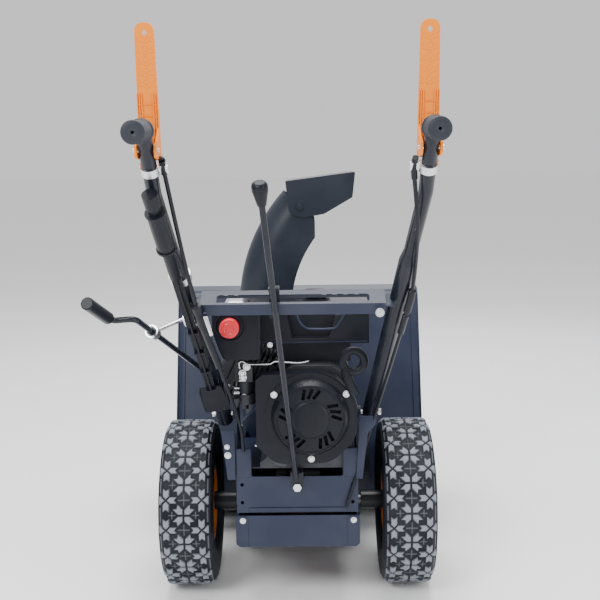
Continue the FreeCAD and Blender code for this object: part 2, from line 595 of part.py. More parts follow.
def make_levers():
    pin = LEVER_PIN
    blade_y = LEVER_STANDOFF
    outline = [(blade_y, -LEVER_BELOW), (blade_y + LEVER_T, -LEVER_BELOW), (blade_y + LEVER_T, LEVER_ABOVE),
               (blade_y, LEVER_ABOVE)]
    half = LEVER_W / 2
    blade = closed_face([V(-half, blade_y, -LEVER_BELOW), V(half, blade_y, -LEVER_BELOW),
                         V(half - 2, blade_y, LEVER_ABOVE), V(-half + 2, blade_y, LEVER_ABOVE)],
                        [0, 0.5, 12, 12]).extrude(V(0, LEVER_T, 0))
    hole = rod(3.5, V(0, 0, LEVER_ABOVE - 14), V(0, 60, LEVER_ABOVE - 14))
    gap = UPPER_R + 1.0
    cheek_outline = [(blade_y + 1, -LEVER_BELOW), (blade_y + 1, 30), (8, 12), (-11, 9), (-11, -9), (8, -13)]
    cheek = prism_x(cheek_outline, [0, 2, 10, 8, 8, 8], gap, half)
    cheeks = [cheek, mirrored(cheek)]
    lever = fuse([blade] + cheeks).cut(hole)
    lever = lever.cut(rod(PIN_R + FIT, V(-30, 0, 0), V(30, 0, 0)))
    lever.rotate(V(0, 0, 0), X_AXIS, LEVER_LEAN)
    lever.translate(pin)
    save("lever_right", lever)
    save("lever_left", mirrored(lever))

    ring_at = HANDLE_ELBOW - UP_TUBE * (LEVER_UP_TUBE + 42)
    band = pipe(UPPER_R + 3, UPPER_R, ring_at, ring_at + UP_TUBE * 14)
    tab_at = ring_at + UP_TUBE * 7
    tab = box(-27, 0, -2, 2, -7, 7)
    tab.rotate(V(0, 0, 0), X_AXIS, 43)
    tab.translate(tab_at)
    bore = rod(UPPER_R, ring_at - UP_TUBE * 30, ring_at + UP_TUBE * 40)
    hole = tab_at - V(CABLE_IN, 0, 0)
    hole = rod(CABLE_R + FIT, hole - UP_TUBE * 9, hole + UP_TUBE * 9)
    clamp = fuse([band, tab]).cut(bore).cut(hole)
    cross_pin = rod(PIN_R, pin - V(half + 3, 0, 0), pin + V(half + 3, 0, 0))
    pieces = [clamp, mirrored(clamp), cross_pin, mirrored(cross_pin), tool_band()]
    save("handle_clamps", Part.makeCompound(pieces))


def tool_band():
    """The clamp on the left handle that holds the clean-out tool."""
    along = unit(TOOL_TOP - TOOL_FOOT)
    height = (TOOL_TOP - along * 205).z + 14
    centre = HANDLE_FOOT + HANDLE_RUN * ((height - HANDLE_FOOT.z) / HANDLE_RUN.z)
    centre = V(-centre.x, centre.y, centre.z)
    return pipe(LOWER_R + 3, LOWER_R, centre - TUBE_LEFT * 7, centre + TUBE_LEFT * 7)


def gate_frame(shape):
    """Tilts a shape drawn flat (X across, Y up the slope) on to the gate's plane."""
    slope = GATE_FAR - GATE_NEAR
    tilt = math.degrees(math.atan2(slope.z, slope.y))
    shape.rotate(V(0, 0, 0), X_AXIS, tilt)
    shape.translate((GATE_NEAR + GATE_FAR) * 0.5)
    return shape


def make_dash():
    depth = (GATE_FAR - GATE_NEAR).Length / 2
    sheet = box(-GATE_X, GATE_X, -depth, depth, -SHEET, 0)
    lip = box(-GATE_X, GATE_X, -depth, -depth + SHEET, -22, 0)
    back = box(-GATE_X, GATE_X, depth - SHEET, depth, -14, 0)
    ends = [box(s * GATE_X - SHEET / 2, s * GATE_X + SHEET / 2, -depth, depth, -12, 0) for s in (-1, 1)]
    half = GATE_SLOT / 2
    near, far = GATE_SLOT_OFF - GATE_SLOT_W / 2, GATE_SLOT_OFF + GATE_SLOT_W / 2
    slot = prism_z([(-half, near), (half, near), (half, far), (-half, far)], [0, 6, 6, 6], -9, 1)
    panel = fuse([sheet, lip, back] + ends).cut(slot)
    teeth = [prism_z([(x - 5, far + 0.5), (x - 2, far - 2.2), (x + 2, far - 2.2), (x + 5, far + 0.5)],
                     [0, 1, 1, 0], -SHEET, 0) for x in (-110, -93, 51, 68, 86, 104)]
    panel = fuse([panel] + teeth)
    ears = [box(*sorted((s * (GATE_X - 1), s * (GATE_X + 15))), -depth + 6, depth, -12, -12 + SHEET)
            for s in (-1, 1)]
    panel = fuse([panel] + ears)
    holes = [rod(3.3, V(s * 143, -depth - 9, -17), V(s * 143, -depth + 9, -17)) for s in (-1, 1)]
    panel = gate_frame(panel.cut(Part.makeCompound(holes)))
    tubes = [rod(LOWER_R, HANDLE_FOOT, HANDLE_KNEE)]
    tubes.append(mirrored(tubes[0]))
    save("dash_panel", panel.cut(Part.makeCompound(tubes)))


REST_CROSSING = -30.3   # where the shift lever crosses the gate at rest


# ---- shift lever and friction drive ----
def make_shift():
    along = unit(SHIFT_TOP - SHIFT_FOOT)
    rear = FRAME_REAR - PLATE - GAP
    stem = rod(ROD_R, SHIFT_FOOT - along * 4, SHIFT_TOP)
    plate = prism_y([(-9, SHIFT_PIVOT_Z), (-9, SHIFT_PIVOT_Z - 9), (9, SHIFT_PIVOT_Z - 9), (12, 282), (-12, 282)],
                    [0, 8, 8, 3, 3], rear - 4, rear)
    cheeks = [box(s * 12 - (s > 0) * 3, s * 12 + (s < 0) * 3, rear - 24, rear - 1, 258, 282) for s in (-1, 1)]
    block = box(-9.5, 9.5, rear - 24, rear - 3, 262, 280)
    x, y = REST_CROSSING, GATE_NEAR.y + 15
    tongue = box(x - 8.5, x + 8.5, y - 2, y + 2, 603, 657)
    arm = box(x - 8.5, x + 8.5, y - 36, y + 2, 652, 657)
    lever = fuse([stem, plate, block, tongue, arm] + cheeks)
    lever = lever.cut(rod(5 + FIT, V(0, -190, SHIFT_PIVOT_Z), V(0, -140, SHIFT_PIVOT_Z)))
    save("shift_lever", lever)
    base = SHIFT_TOP
    knob = Part.makeCone(KNOB_R * 0.56, KNOB_R, 26, base - along * 14, along)
    crown = rod(KNOB_R, base + along * 12, base + along * 26)
    crown = crown.makeFillet(7, [e for e in crown.Edges if e.CenterOfMass.z > base.z + 20])
    knob = fuse([knob, crown]).cut(rod(ROD_R, base - along * 20, base))
    save("shift_knob", knob)

    friction_y = V(FRICTION_X, HEX_Y, DISC_Z)
    tread = pipe(FRICTION_R - 0.05, 38, friction_y - V(6, 0, 0), friction_y + V(6, 0, 0))
    carrier = rod(38, friction_y - V(4, 0, 0), friction_y + V(4, 0, 0))
    collar = rod(16, friction_y - V(14, 0, 0), friction_y + V(14, 0, 0))
    wheel = fuse([tread, carrier, collar])
    span = V(60, 0, 0)
    save("friction_wheel", wheel.cut(hexagon(HEX_R + 0.1, friction_y - span, friction_y + span)))
    hexbar = hexagon(HEX_R, V(-FRAME_X + PLATE + 1, HEX_Y, DISC_Z), V(FRAME_X - PLATE - 1, HEX_Y, DISC_Z))
    ends = rod(HEX_R - 1.2, V(-FRAME_X - 3, HEX_Y, DISC_Z), V(FRAME_X + 3, HEX_Y, DISC_Z))
    sprocket = rod(HEX_SPROCKET_R, V(CHAIN_X - 3, HEX_Y, DISC_Z), V(CHAIN_X + 3, HEX_Y, DISC_Z))
    save("hex_shaft", fuse([hexbar, ends, sprocket]))

    centre = V(0, 0, DISC_Z)
    disc = rod(DISC_R, centre + V(0, DISC_BACK, 0), centre + V(0, DISC_BACK + DISC_T, 0))
    spindle = rod(8, centre + V(0, DISC_BACK, 0), centre + V(0, DRIVE_BELT_Y + 4, 0))
    wheel = pulley(DISC_PULLEY_R, V(0, DRIVE_BELT_Y, DISC_Z), BELT_W + 3)
    save("friction_disc", fuse([disc, spindle, wheel]))


def belt(first, r1, second, r2, thickness, width, normal):
    """An open loop round two pulleys whose axes lie along the normal."""
    def loop(extra):
        line = second - first
        reach = line.Length
        along = line * (1 / reach)
        across = normal.cross(along)
        tilt = math.asin((r1 - r2) / reach)
        sides = []
        for sign in (1, -1):
            out = along * math.sin(tilt) + across * (sign * math.cos(tilt))
            sides.append((first + out * (r1 + extra), second + out * (r2 + extra)))
        (a1, a2), (b1, b2) = sides
        edges = [Part.makeLine(a1, a2), Part.Arc(a2, second + along * (r2 + extra), b2).toShape(),
                 Part.makeLine(b2, b1), Part.Arc(b1, first - along * (r1 + extra), a1).toShape()]
        face = Part.Face(Part.Wire(edges))
        face.translate(normal * (-width / 2))
        return face.extrude(normal * width)
    return loop(thickness).cut(loop(0))


def make_belts():
    crank_a, low_a = V(CRANK_X, AUGER_BELT_Y, CRANK_Z), V(0, AUGER_BELT_Y, IMPELLER_Z)
    crank_d, low_d = V(CRANK_X, DRIVE_BELT_Y, CRANK_Z), V(0, DRIVE_BELT_Y, DISC_Z)
    width = BELT_W - 2
    auger = belt(crank_a, ENGINE_AUGER_PULLEY_R + GAP, low_a, AUGER_PULLEY_R + GAP, BELT_T, width, Y_AXIS)
    drive = belt(crank_d, ENGINE_DRIVE_PULLEY_R + GAP, low_d, DISC_PULLEY_R + GAP, BELT_T, width - 3, Y_AXIS)
    save("drive_belts", Part.makeCompound([auger, drive]))
    chain = belt(V(CHAIN_X, HEX_Y, DISC_Z), HEX_SPROCKET_R + GAP, V(CHAIN_X, 0, TYRE_R),
                 AXLE_SPROCKET_R + GAP, 5, 7, X_AXIS)
    save("drive_chain", chain)


# ---- engine ----
def make_engine():
    shaft = [rod(CRANKSHAFT_R, V(CRANK_X, HOUSING_REAR + 4, CRANK_Z), V(CRANK_X, DRUM_REAR - 8, CRANK_Z)),
             rod(FLYWHEEL_R, V(CRANK_X, HOUSING_REAR + 6, CRANK_Z), V(CRANK_X, HOUSING_REAR + 26, CRANK_Z)),
             pulley(ENGINE_AUGER_PULLEY_R, V(CRANK_X, AUGER_BELT_Y, CRANK_Z), BELT_W + 3),
             pulley(ENGINE_DRIVE_PULLEY_R, V(CRANK_X, DRIVE_BELT_Y, CRANK_Z), BELT_W + 3)]
    save("crankshaft", fuse(shaft))

    base = DECK_TOP - 4
    outline = [(CRANK_X - 96, base), (CRANK_X + 84, base), (CRANK_X + 84, base + 12), (CRANK_X + 78, base + 22),
               (CRANK_X + 78, 452), (CRANK_X + 40, 478), (CRANK_X - 34, 478), (CRANK_X - 72, 440),
               (CRANK_X - 84, base + 20), (CRANK_X - 96, base + 12)]
    case = prism_y(outline, [0, 3, 3, 6, 20, 20, 20, 16, 8, 3], -146, 44)
    nose = rod(40, V(CRANK_X, 40, CRANK_Z), V(CRANK_X, DECK_FRONT, CRANK_Z))
    room = [(CRANK_X - 74, base + 10), (CRANK_X + 70, base + 10), (CRANK_X + 70, 448), (CRANK_X + 36, 470),
            (CRANK_X - 30, 470), (CRANK_X - 64, 436)]
    room = prism_y(room, [0, 4, 14, 14, 14, 10], -138, 36)
    case = fuse([case.cut(room), nose])
    case = case.cut(rod(CRANKSHAFT_R + FIT, V(CRANK_X, -200, CRANK_Z), V(CRANK_X, 100, CRANK_Z)))
    save("crankcase", case)

    fins = [box(-152 + 9 * k, -148.5 + 9 * k, -112, -4, -46, 46) for k in range(7)]
    core = box(-166, -84, -98, -18, -34, 34)
    rocker = rounded_box(-186, -160, -100, -16, -30, 30, 6)
    head = fuse([core, rocker] + fins)
    head.rotate(V(0, 0, 0), Y_AXIS, CYLINDER_TILT)
    head.translate(V(CRANK_X, 0, CRANK_Z + 8))
    save("cylinder_head", head.cut(nodes["crankcase"]))

    left, right = HOUSING_X - HOUSING_HALF_W, HOUSING_X + HOUSING_HALF_W
    outline = [(left, 335), (left + 34, HOUSING_BOTTOM), (right - 48, HOUSING_BOTTOM), (right, 349),
               (right, HOUSING_TOP - 50), (right - 46, HOUSING_TOP), (left + 12, HOUSING_TOP - 4),
               (left, HOUSING_TOP - 14)]
    radii = [0, 40, 55, 55, 50, 46, 8, 8]
    shell = prism_y(outline, radii, HOUSING_REAR, HOUSING_FRONT)
    cavity = rod(FLYWHEEL_R + 2, V(CRANK_X, HOUSING_REAR + 3, CRANK_Z), V(CRANK_X, HOUSING_FRONT + 5, CRANK_Z))
    mouth = rod(RECOIL_FACE_R - 2, V(CRANK_X, HOUSING_REAR - 5, CRANK_Z), V(CRANK_X, HOUSING_FRONT, CRANK_Z))
    shell = shell.cut(cavity).cut(mouth)
    boss = rod(7, HANDLE_CORD_EXIT + V(0, 20, 0), HANDLE_CORD_EXIT)
    bore = rod(CORD_R + 0.8, HANDLE_CORD_EXIT - CORD_AXIS * 80, HANDLE_CORD_EXIT + CORD_AXIS * 4)
    shell = fuse([shell, boss]).cut(bore)
    save("blower_housing", shell)

    depth = HOUSING_REAR - RECOIL_REAR - 3
    face = Part.makeCone(RECOIL_CONE_R, RECOIL_FACE_R, depth, V(CRANK_X, HOUSING_REAR - 3, CRANK_Z), V(0, -1, 0))
    flange = rod(RECOIL_R, V(CRANK_X, HOUSING_REAR - 3, CRANK_Z), V(CRANK_X, HOUSING_REAR, CRANK_Z))
    hollow = Part.makeCone(RECOIL_CONE_R - 6, RECOIL_FACE_R - 4, depth,
                           V(CRANK_X, HOUSING_REAR + 0.1, CRANK_Z), V(0, -1, 0))
    holes = [rod(3.05, V(x, HOUSING_REAR - 9, z), V(x, HOUSING_REAR + 9, z)) for x, z in RECOIL_BOLTS]
    cover = fuse([face, flange]).cut(hollow).cut(Part.makeCompound(holes))
    slots = []
    for group in range(5):
        for k in (-1, 0, 1):
            slot = box(-3.2, 3.2, RECOIL_REAR - 5, RECOIL_REAR + 8, 38, 58)
            slot.rotate(V(0, 0, 48), Y_AXIS, 24)
            slot.rotate(V(0, 0, 0), Y_AXIS, 72 * group + 14 * k)
            slot.translate(V(CRANK_X, 0, CRANK_Z))
            slots.append(slot)
    save("recoil_cover", cover.cut(Part.makeCompound(slots)))


CORD_R = 2.2
CORD_AXIS = unit(V(0.05, -0.94, 0.3))
HANDLE_CORD_EXIT = V(104, -187, 442)
RECOIL_BOLTS = ((CRANK_X - 66, CRANK_Z + 43), (CRANK_X + 66, CRANK_Z + 43), (CRANK_X + 1, CRANK_Z - 79))


def make_recoil_handle():
    start = HANDLE_CORD_EXIT + CORD_AXIS * 5
    cord = rod(CORD_R, HANDLE_CORD_EXIT - CORD_AXIS * 24, start + CORD_AXIS * 12)
    outline = [(-10, -8), (18, -12), (26, 40), (20, 84), (-2, 93), (-22, 80), (-18, 36)]
    loop = closed_face([V(x, 0, z) for x, z in outline], [0, 10, 30, 16, 14, 16, 30]).extrude(V(0, 15, 0))
    inner = [(-6, 8), (11, 6), (15, 42), (10, 74), (-2, 80), (-11, 73), (-9, 40)]
    hole = closed_face([V(x, -5, z) for x, z in inner], [0, 5, 14, 8, 7, 8, 12]).extrude(V(0, 30, 0))
    loop = loop.cut(hole)
    loop.translate(V(0, -16, 0))
    loop.rotate(V(0, 0, 0), X_AXIS, 10)
    loop.translate(start)
    save("recoil_handle", fuse([loop, cord]))


def make_engine_top():
    rear, front = -130.0, 18.0
    outline = [(rear, 516), (front, 516), (front, 580), (front - 14, 590), (rear + 34, 590), (rear, 574)]
    tank = prism_x(outline, [0, 12, 14, 10, 16, 10], -86, 138)
    recess = closed_face([V(-6, rear - 5, 526), V(62, rear - 5, 526), V(82, rear - 5, 600),
                          V(-22, rear - 5, 600)], [0, 10, 1, 1]).extrude(V(0, 27, 0))
    foot = box(-30, 104, rear + 20, front - 10, 478, 517)
    neck = rod(20, V(40, -40, 580), V(40, -40, 593))
    room = [(rear + 32, 520), (front - 4, 520), (front - 4, 578), (front - 16, 586), (rear + 38, 586),
            (rear + 32, 582)]
    room = prism_x(room, [0, 8, 8, 6, 6, 4], -82, 134)
    filler = rod(16, V(40, -40, 560), V(40, -40, 600))
    tank = fuse([tank.cut(recess), neck, foot]).cut(room).cut(filler)
    save("fuel_tank", tank)
    cap = fuse([rod(27, V(40, -40, 593 + GAP), V(40, -40, 603)), rod(22, V(40, -40, 603), V(40, -40, 606))])
    save("fuel_cap", cap)

    outline = [(-128, 486), (-48, 486), (-46, 596), (-150, 596), (-150, 545), (-136, 508)]
    cover = prism_y(outline, [0, 10, 10, 10, 6, 6], COVER_REAR, COVER_FRONT)
    inside = prism_y([(-124, 490), (-52, 490), (-50, 592), (-146, 592), (-146, 547), (-132, 510)],
                     [0, 8, 8, 8, 4, 4], COVER_REAR + 4, COVER_FRONT + 1)
    dish = rod(27, V(BUTTON_X, COVER_REAR - 3, BUTTON_Z), V(BUTTON_X, COVER_REAR + 3, BUTTON_Z))
    ring = dish.cut(rod(25, V(BUTTON_X, COVER_REAR - 9, BUTTON_Z), V(BUTTON_X, COVER_REAR + 9, BUTTON_Z)))
    cover = fuse([cover.cut(inside), ring])
    cover = cover.cut(rod(8 + GAP, V(BUTTON_X, COVER_REAR - 9, BUTTON_Z), V(BUTTON_X, COVER_REAR + 9, BUTTON_Z)))
    save("carburettor_cover", cover)
    stem = rod(8, V(BUTTON_X, COVER_REAR - 12, BUTTON_Z), V(BUTTON_X, COVER_REAR + 26, BUTTON_Z))
    cap = rod(17.5, V(BUTTON_X, COVER_REAR - 28, BUTTON_Z), V(BUTTON_X, COVER_REAR - 10, BUTTON_Z))
    cap = cap.makeFillet(3, [e for e in cap.Edges if abs(e.CenterOfMass.y - COVER_REAR + 28) < 0.1])
    stop = rod(11, V(BUTTON_X, COVER_REAR + 10, BUTTON_Z), V(BUTTON_X, COVER_REAR + 14, BUTTON_Z))
    save("primer_button", fuse([stem, cap, stop]))

    body = fuse([rod(16, V(-96, -150, 425), V(-96, -150, 462)), box(-112, -80, -165, -126, 452, 480),
                 rod(22, V(-96, -150, 410), V(-96, -150, 428)), rod(7, V(-96, -150, 398), V(-96, -150, 412)),
                 box(-108, -84, -150, -112, 440, 470)])
    save("carburettor", body.cut(nodes["cylinder_head"]))

    box_shape = rounded_box(-140, -92, -84, 52, 500, 590, 14)
    pipe_stub = rod(12, V(-116, -20, 505), V(-104, -50, 470))
    muffler = fuse([box_shape, pipe_stub])
    save("muffler", muffler.cut(nodes["cylinder_head"]))


COVER_REAR = -205.0
COVER_FRONT = -134.0
BUTTON_X = -116.0
BUTTON_Z = 564.0


# ---- chute ----
def chute_section(inset, cut_front):
    """The chute's D-shaped section at its bend: a half round back and straight sides to the front."""
    radius = CHUTE_R - inset
    x, y, z = CHUTE_X, CHUTE_Y, CHUTE_BEND_Z
    back = Part.Arc(V(x, y + radius, z), V(x - radius, y, z), V(x, y - radius, z)).toShape()
    front = x + CHUTE_R + (6 if cut_front else 0)
    edges = [back, Part.makeLine(V(x, y - radius, z), V(front, y - radius, z)),
             Part.makeLine(V(front, y - radius, z), V(front, y + radius, z)),
             Part.makeLine(V(front, y + radius, z), V(x, y + radius, z))]
    return Part.Face(Part.Wire(edges))


def make_chute():
    axis = V(CHUTE_X + CHUTE_BEND_R, 0, CHUTE_BEND_Z)
    bent, hollow = [chute_section(i, i > 0).revolve(axis, Y_AXIS, CHUTE_BEND) for i in (0, CHUTE_WALL)]
    down = V(0, 0, CHUTE_OPEN_Z - CHUTE_BEND_Z)
    straight, straight_hollow = [chute_section(i, i > 0).extrude(down) for i in (0, CHUTE_WALL)]
    overshoot = chute_section(CHUTE_WALL, True).revolve(axis, Y_AXIS, CHUTE_BEND + 2)
    bend = bent.cut(overshoot)
    trunk = straight.cut(straight_hollow)
    foot_z = COLLAR_TOP + GAP
    centre = V(CHUTE_X, CHUTE_Y, 0)
    barrel = pipe(CHUTE_R, CHUTE_R - CHUTE_WALL, centre + V(0, 0, foot_z), centre + V(0, 0, CHUTE_OPEN_Z))
    ring = pipe(RING_R - 6, COLLAR_R + 0.5, centre + V(0, 0, foot_z), centre + V(0, 0, foot_z + 5))
    teeth = []
    for k in range(RING_TEETH):
        tooth = box(RING_R - 7, RING_R, -2.6, 2.6, foot_z, foot_z + 5)
        tooth.rotate(V(0, 0, 0), Z_AXIS, 360 / RING_TEETH * k)
        tooth.translate(centre)
        teeth.append(tooth)
    chute = fuse([barrel, trunk, bend, ring] + teeth)
    rim = [box(CHUTE_X + CHUTE_R - 4, CHUTE_X + CHUTE_R, s * 0 + CHUTE_Y + side, CHUTE_Y + side + 6,
               CHUTE_OPEN_Z, CHUTE_BEND_Z) for s, side in ((1, CHUTE_R), (1, -CHUTE_R - 6))]
    chute = fuse([chute] + rim).cut(box(40, 90, CHUTE_Y - 90, CHUTE_Y + 90, 660, 760))
    chute = chute.cut(rod(3.2, HOOD_PIN - V(0, 90, 0), HOOD_PIN + V(0, 90, 0)))
    save("chute", chute)

    out, inn = CHUTE_R + 1.5 + CHUTE_WALL, CHUTE_R + 1.5
    outline = [(-21, 811), (-14, 742), (14, 734), (60, 742), (119, 776), (125, 829)]
    radii = [0, 14, 18, 14, 4, 3]
    hood = prism_y(outline, radii, CHUTE_Y - out, CHUTE_Y + out)
    inner = [(-40, 805.6), (-40, 700), (80, 700), (140, 770), (140, 827.7)]
    hood = hood.cut(prism_y(inner, [0, 1, 1, 1, 1], CHUTE_Y - inn, CHUTE_Y + inn))
    pins = [rod(3, HOOD_PIN + V(0, s * (out + 7), 0), HOOD_PIN + V(0, s * (CHUTE_R - 4), 0)) for s in (1, -1)]
    heads = [hexagon(7, HOOD_PIN + V(0, s * (out + 6), 0), HOOD_PIN + V(0, s * out, 0)) for s in (1, -1)]
    save("deflector", fuse([hood] + pins + heads))

    keepers = []
    for angle in (75, 150, 330):
        block = fuse([box(RING_R - 8, RING_R + 12, -8, 8, foot_z + 5 + GAP, foot_z + 8 + GAP),
                      box(RING_R + 1, RING_R + 12, -8, 8, COLLAR_TOP - PLATE, foot_z + 8 + GAP),
                      box(RING_R - 6, RING_R + 12, -8, 8, COLLAR_TOP - PLATE - 3, COLLAR_TOP - PLATE)])
        block.rotate(V(0, 0, 0), Z_AXIS, angle)
        block.translate(centre)
        keepers.append(block)
    save("chute_keepers", Part.makeCompound(keepers))


HOOD_PIN = V(8, CHUTE_Y, 757)


# ---- chute crank ----
def make_crank():
    along = unit(CRANK_EYE - CRANK_WORM)
    bend = CRANK_EYE + along * CRANK_TAIL
    side = unit(V(-along.y, along.x, 0)) * -1
    side = side if side.x < 0 else side * -1
    down = along.cross(side)
    arm = unit(side + down * 0.1)
    corner = bend + arm * CRANK_ARM
    tip = corner + along * CRANK_SPINDLE
    shaft = swept_rod([CRANK_WORM, bend, corner, tip], [11, 11], CRANK_ROD_R)
    pitch, coils = 14.0, 4
    worm = [rod(9, CRANK_WORM + along * (4 + pitch * k), CRANK_WORM + along * (9 + pitch * k))
            for k in range(coils)]
    stops = [rod(8, CRANK_EYE + along * s, CRANK_EYE + along * (s + 3)) for s in (-12, 9)]
    save("chute_crank", fuse([shaft] + worm + stops))
    grip = rod(CRANK_GRIP_R, corner + along * 15, tip)
    cap = rod(CRANK_GRIP_R, tip, tip + along * 4)
    grip = fuse([grip, cap]).cut(rod(CRANK_ROD_R + FIT, corner, tip))
    save("crank_grip", grip)
    eye = pipe(11, CRANK_ROD_R + FIT, CRANK_EYE - along * 8.5, CRANK_EYE + along * 8.5)
    tube_z = CRANK_EYE.z + 15
    share = (tube_z - HANDLE_FOOT.z) / HANDLE_RUN.z
    on_tube = HANDLE_FOOT + HANDLE_RUN * share
    anchor = V(-on_tube.x - LOWER_R + 0.5, on_tube.y, on_tube.z)
    wire = rod(3, CRANK_EYE + unit(anchor - CRANK_EYE) * 10, anchor)
    band = pipe(LOWER_R + 3, LOWER_R, V(-on_tube.x, on_tube.y, on_tube.z) - TUBE_LEFT * 6,
                V(-on_tube.x, on_tube.y, on_tube.z) + TUBE_LEFT * 6)
    tube_bore = rod(LOWER_R, V(-on_tube.x, on_tube.y, on_tube.z) - TUBE_LEFT * 60,
                    V(-on_tube.x, on_tube.y, on_tube.z) + TUBE_LEFT * 60)
    guide = fuse([eye, wire, band]).cut(tube_bore)
    clear = [rod(CRANK_ROD_R + FIT, CRANK_EYE - along * 60, CRANK_EYE + along * 60),
             rod(9, CRANK_EYE - along * 60, CRANK_EYE - along * 8.5),
             rod(9, CRANK_EYE + along * 8.5, CRANK_EYE + along * 60)]
    save("crank_guide", guide.cut(Part.makeCompound(clear)))


TUBE_LEFT = unit(V(-HANDLE_RUN.x, HANDLE_RUN.y, HANDLE_RUN.z))


# ---- clean-out tool on the left handle ----
def make_tool():
    along = unit(TOOL_TOP - TOOL_FOOT)
    length = (TOOL_TOP - TOOL_FOOT).Length
    across = unit(along.cross(V(0, -1, 0)))
    deep = along.cross(across)

    def place(shape):
        """Moves a shape drawn along Z (X across, Y deep) on to the tool's line."""
        matrix = FreeCAD.Matrix(across.x, deep.x, along.x, TOOL_FOOT.x,
                                across.y, deep.y, along.y, TOOL_FOOT.y,
                                across.z, deep.z, along.z, TOOL_FOOT.z, 0, 0, 0, 1)
        return shape.transformShape(matrix, True)

    stem = fuse([box(-8, 8, -1.5, 1.5, 0, length - 180), box(-1.5, 1.5, -8, 8, 0, length - 180)])
    rings = [box(-8.5, 8.5, -8.5, 8.5, z, z + 2.5) for z in (0, 55, 110, 165)]
    grip = fuse([rod(9.5, V(0, 0, length - 180), V(0, 0, length)),
                 rod(14, V(0, 0, length - 112), V(0, 0, length - 40)),
                 rod(16, V(0, 0, length - 116), V(0, 0, length - 112)),
                 rod(16, V(0, 0, length - 40), V(0, 0, length - 36)),
                 rod(12, V(0, 0, length - 24), V(0, 0, length))])
    blade = prism_y([(-19, 2), (19, 2), (24, -74), (-24, -74)], [0, 8, 5, 5], -2, 1)
    blade = fuse([blade, box(-24, -22, -2, 12, -66, -8), box(22, 24, -2, 12, -66, -8)])
    tool = fuse([stem, grip] + rings + [blade])
    save("cleanout_tool", place(tool))


TOOL_TOP = V(-199, -538.6, 815)
TOOL_FOOT = V(-151.5, -219.6, 455.6)


# ---- cables ----
def make_cables():
    tab = HANDLE_ELBOW - UP_TUBE * (LEVER_UP_TUBE + 35) - V(CABLE_IN, 0, 0)
    top, low = tab + UP_TUBE * 16, tab - UP_TUBE * 10
    right = [top, low, V(188, -484, 755), V(192.5, -385, 660), V(183, -335, 593), V(148, -162, 392),
             V(92, -160, 207)]
    left = [V(-top.x, top.y, top.z), V(-low.x, low.y, low.z), V(-155, -392, 634), V(-123, -256, 476),
            V(-104, -176, 372), V(-100, -160, 318)]
    sleeves = {"control_cable_right": (right[3], right[4], ((0.02, 0.1, 5.5), (0.1, 0.46, 7), (0.5, 1.0, 6.5))),
               "control_cable_left": (left[2], left[3], ((0.0, 0.07, 6), (0.07, 0.12, 9), (0.12, 0.3, 7.5),
                                                         (0.3, 0.98, 6.5)))}
    for name, points in (("control_cable_right", right), ("control_cable_left", left)):
        radii = []
        for a, b, c in zip(points, points[1:], points[2:]):
            half = (a - b).getAngle(c - b) / 2
            radii.append(min(400, 0.4 * min((a - b).Length, (c - b).Length) * math.tan(half)))
        cable = [swept_rod(points, radii, CABLE_R)]
        start, end, pieces = sleeves[name]
        run = end - start
        cable += [rod(radius, start + run * a, start + run * b) for a, b, radius in pieces]
        save(name, fuse(cable))


CABLE_R = 3.2
CABLE_IN = 20.0        # cable beside the handle tube at the lever clamp


# ---- fasteners ----
def make_bolts():
    rear = FRAME_REAR - PLATE
    pieces = [bolt(V(0, rear - 4 - 2 * GAP, SHIFT_PIVOT_Z), Y_AXIS, 5, 26)]
    pan_rear = rear - SHEET - GAP
    for x in PAN_BOLT_X:
        pieces.append(bolt(V(x, pan_rear, PAN_BOLT_Z), Y_AXIS, 3, SHEET))
    for s in (-1, 1):
        outer = V(s * (HANDLE_BOLT.x + LOWER_R + 1), HANDLE_BOLT.y, HANDLE_BOLT.z)
        pieces.append(bolt(outer, V(-s, 0, 0), 4, 44))
    for x, z in RECOIL_BOLTS:
        pieces.append(bolt(V(x, HOUSING_REAR - 3, z), Y_AXIS, 3, 3, 6))
    save("frame_bolts", Part.makeCompound(pieces))


nodes = {}
os.makedirs("parts", exist_ok=True)
for make in (make_bucket, make_drum, make_augers, make_impeller, make_wheels, make_frame, make_belt_cover,
             make_handles, make_levers, make_dash, make_shift, make_belts, make_engine, make_recoil_handle,
             make_engine_top, make_chute, make_crank, make_tool, make_cables, make_bolts):
    make()
print(len(nodes), "nodes")
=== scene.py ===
import json
import math

import bmesh
import bpy
import numpy as np
from mathutils import Matrix, Vector


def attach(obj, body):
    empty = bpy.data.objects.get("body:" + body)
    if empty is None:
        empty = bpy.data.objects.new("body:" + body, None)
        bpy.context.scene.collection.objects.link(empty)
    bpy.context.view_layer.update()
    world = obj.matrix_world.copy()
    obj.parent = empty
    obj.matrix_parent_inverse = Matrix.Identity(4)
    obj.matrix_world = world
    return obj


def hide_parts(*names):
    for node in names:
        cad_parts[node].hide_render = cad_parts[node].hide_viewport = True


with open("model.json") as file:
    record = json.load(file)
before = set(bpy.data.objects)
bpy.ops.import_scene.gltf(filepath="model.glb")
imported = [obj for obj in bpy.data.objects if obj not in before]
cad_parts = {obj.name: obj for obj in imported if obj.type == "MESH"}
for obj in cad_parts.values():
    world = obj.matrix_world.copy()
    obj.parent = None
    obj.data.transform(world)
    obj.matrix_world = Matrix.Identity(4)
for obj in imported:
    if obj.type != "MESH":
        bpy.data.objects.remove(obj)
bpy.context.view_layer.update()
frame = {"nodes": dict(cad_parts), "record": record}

bl_info = {
    "name": "Snow Blower",
    "version": (1, 0, 0),
    "blender": (4, 5, 0),
    "location": "View3D > Sidebar > Snow Blower",
    "description": "Builds the looks of a two-stage snow blower around its frame",
    "category": "Object",
}

BODY_OF = {node: body for body, nodes in frame["record"]["behaviour"]["bodies"].items() for node in nodes}

MM_PER_M = 1000
M_PER_MM = 0.001
BACKWARD = (0, -1, 0)


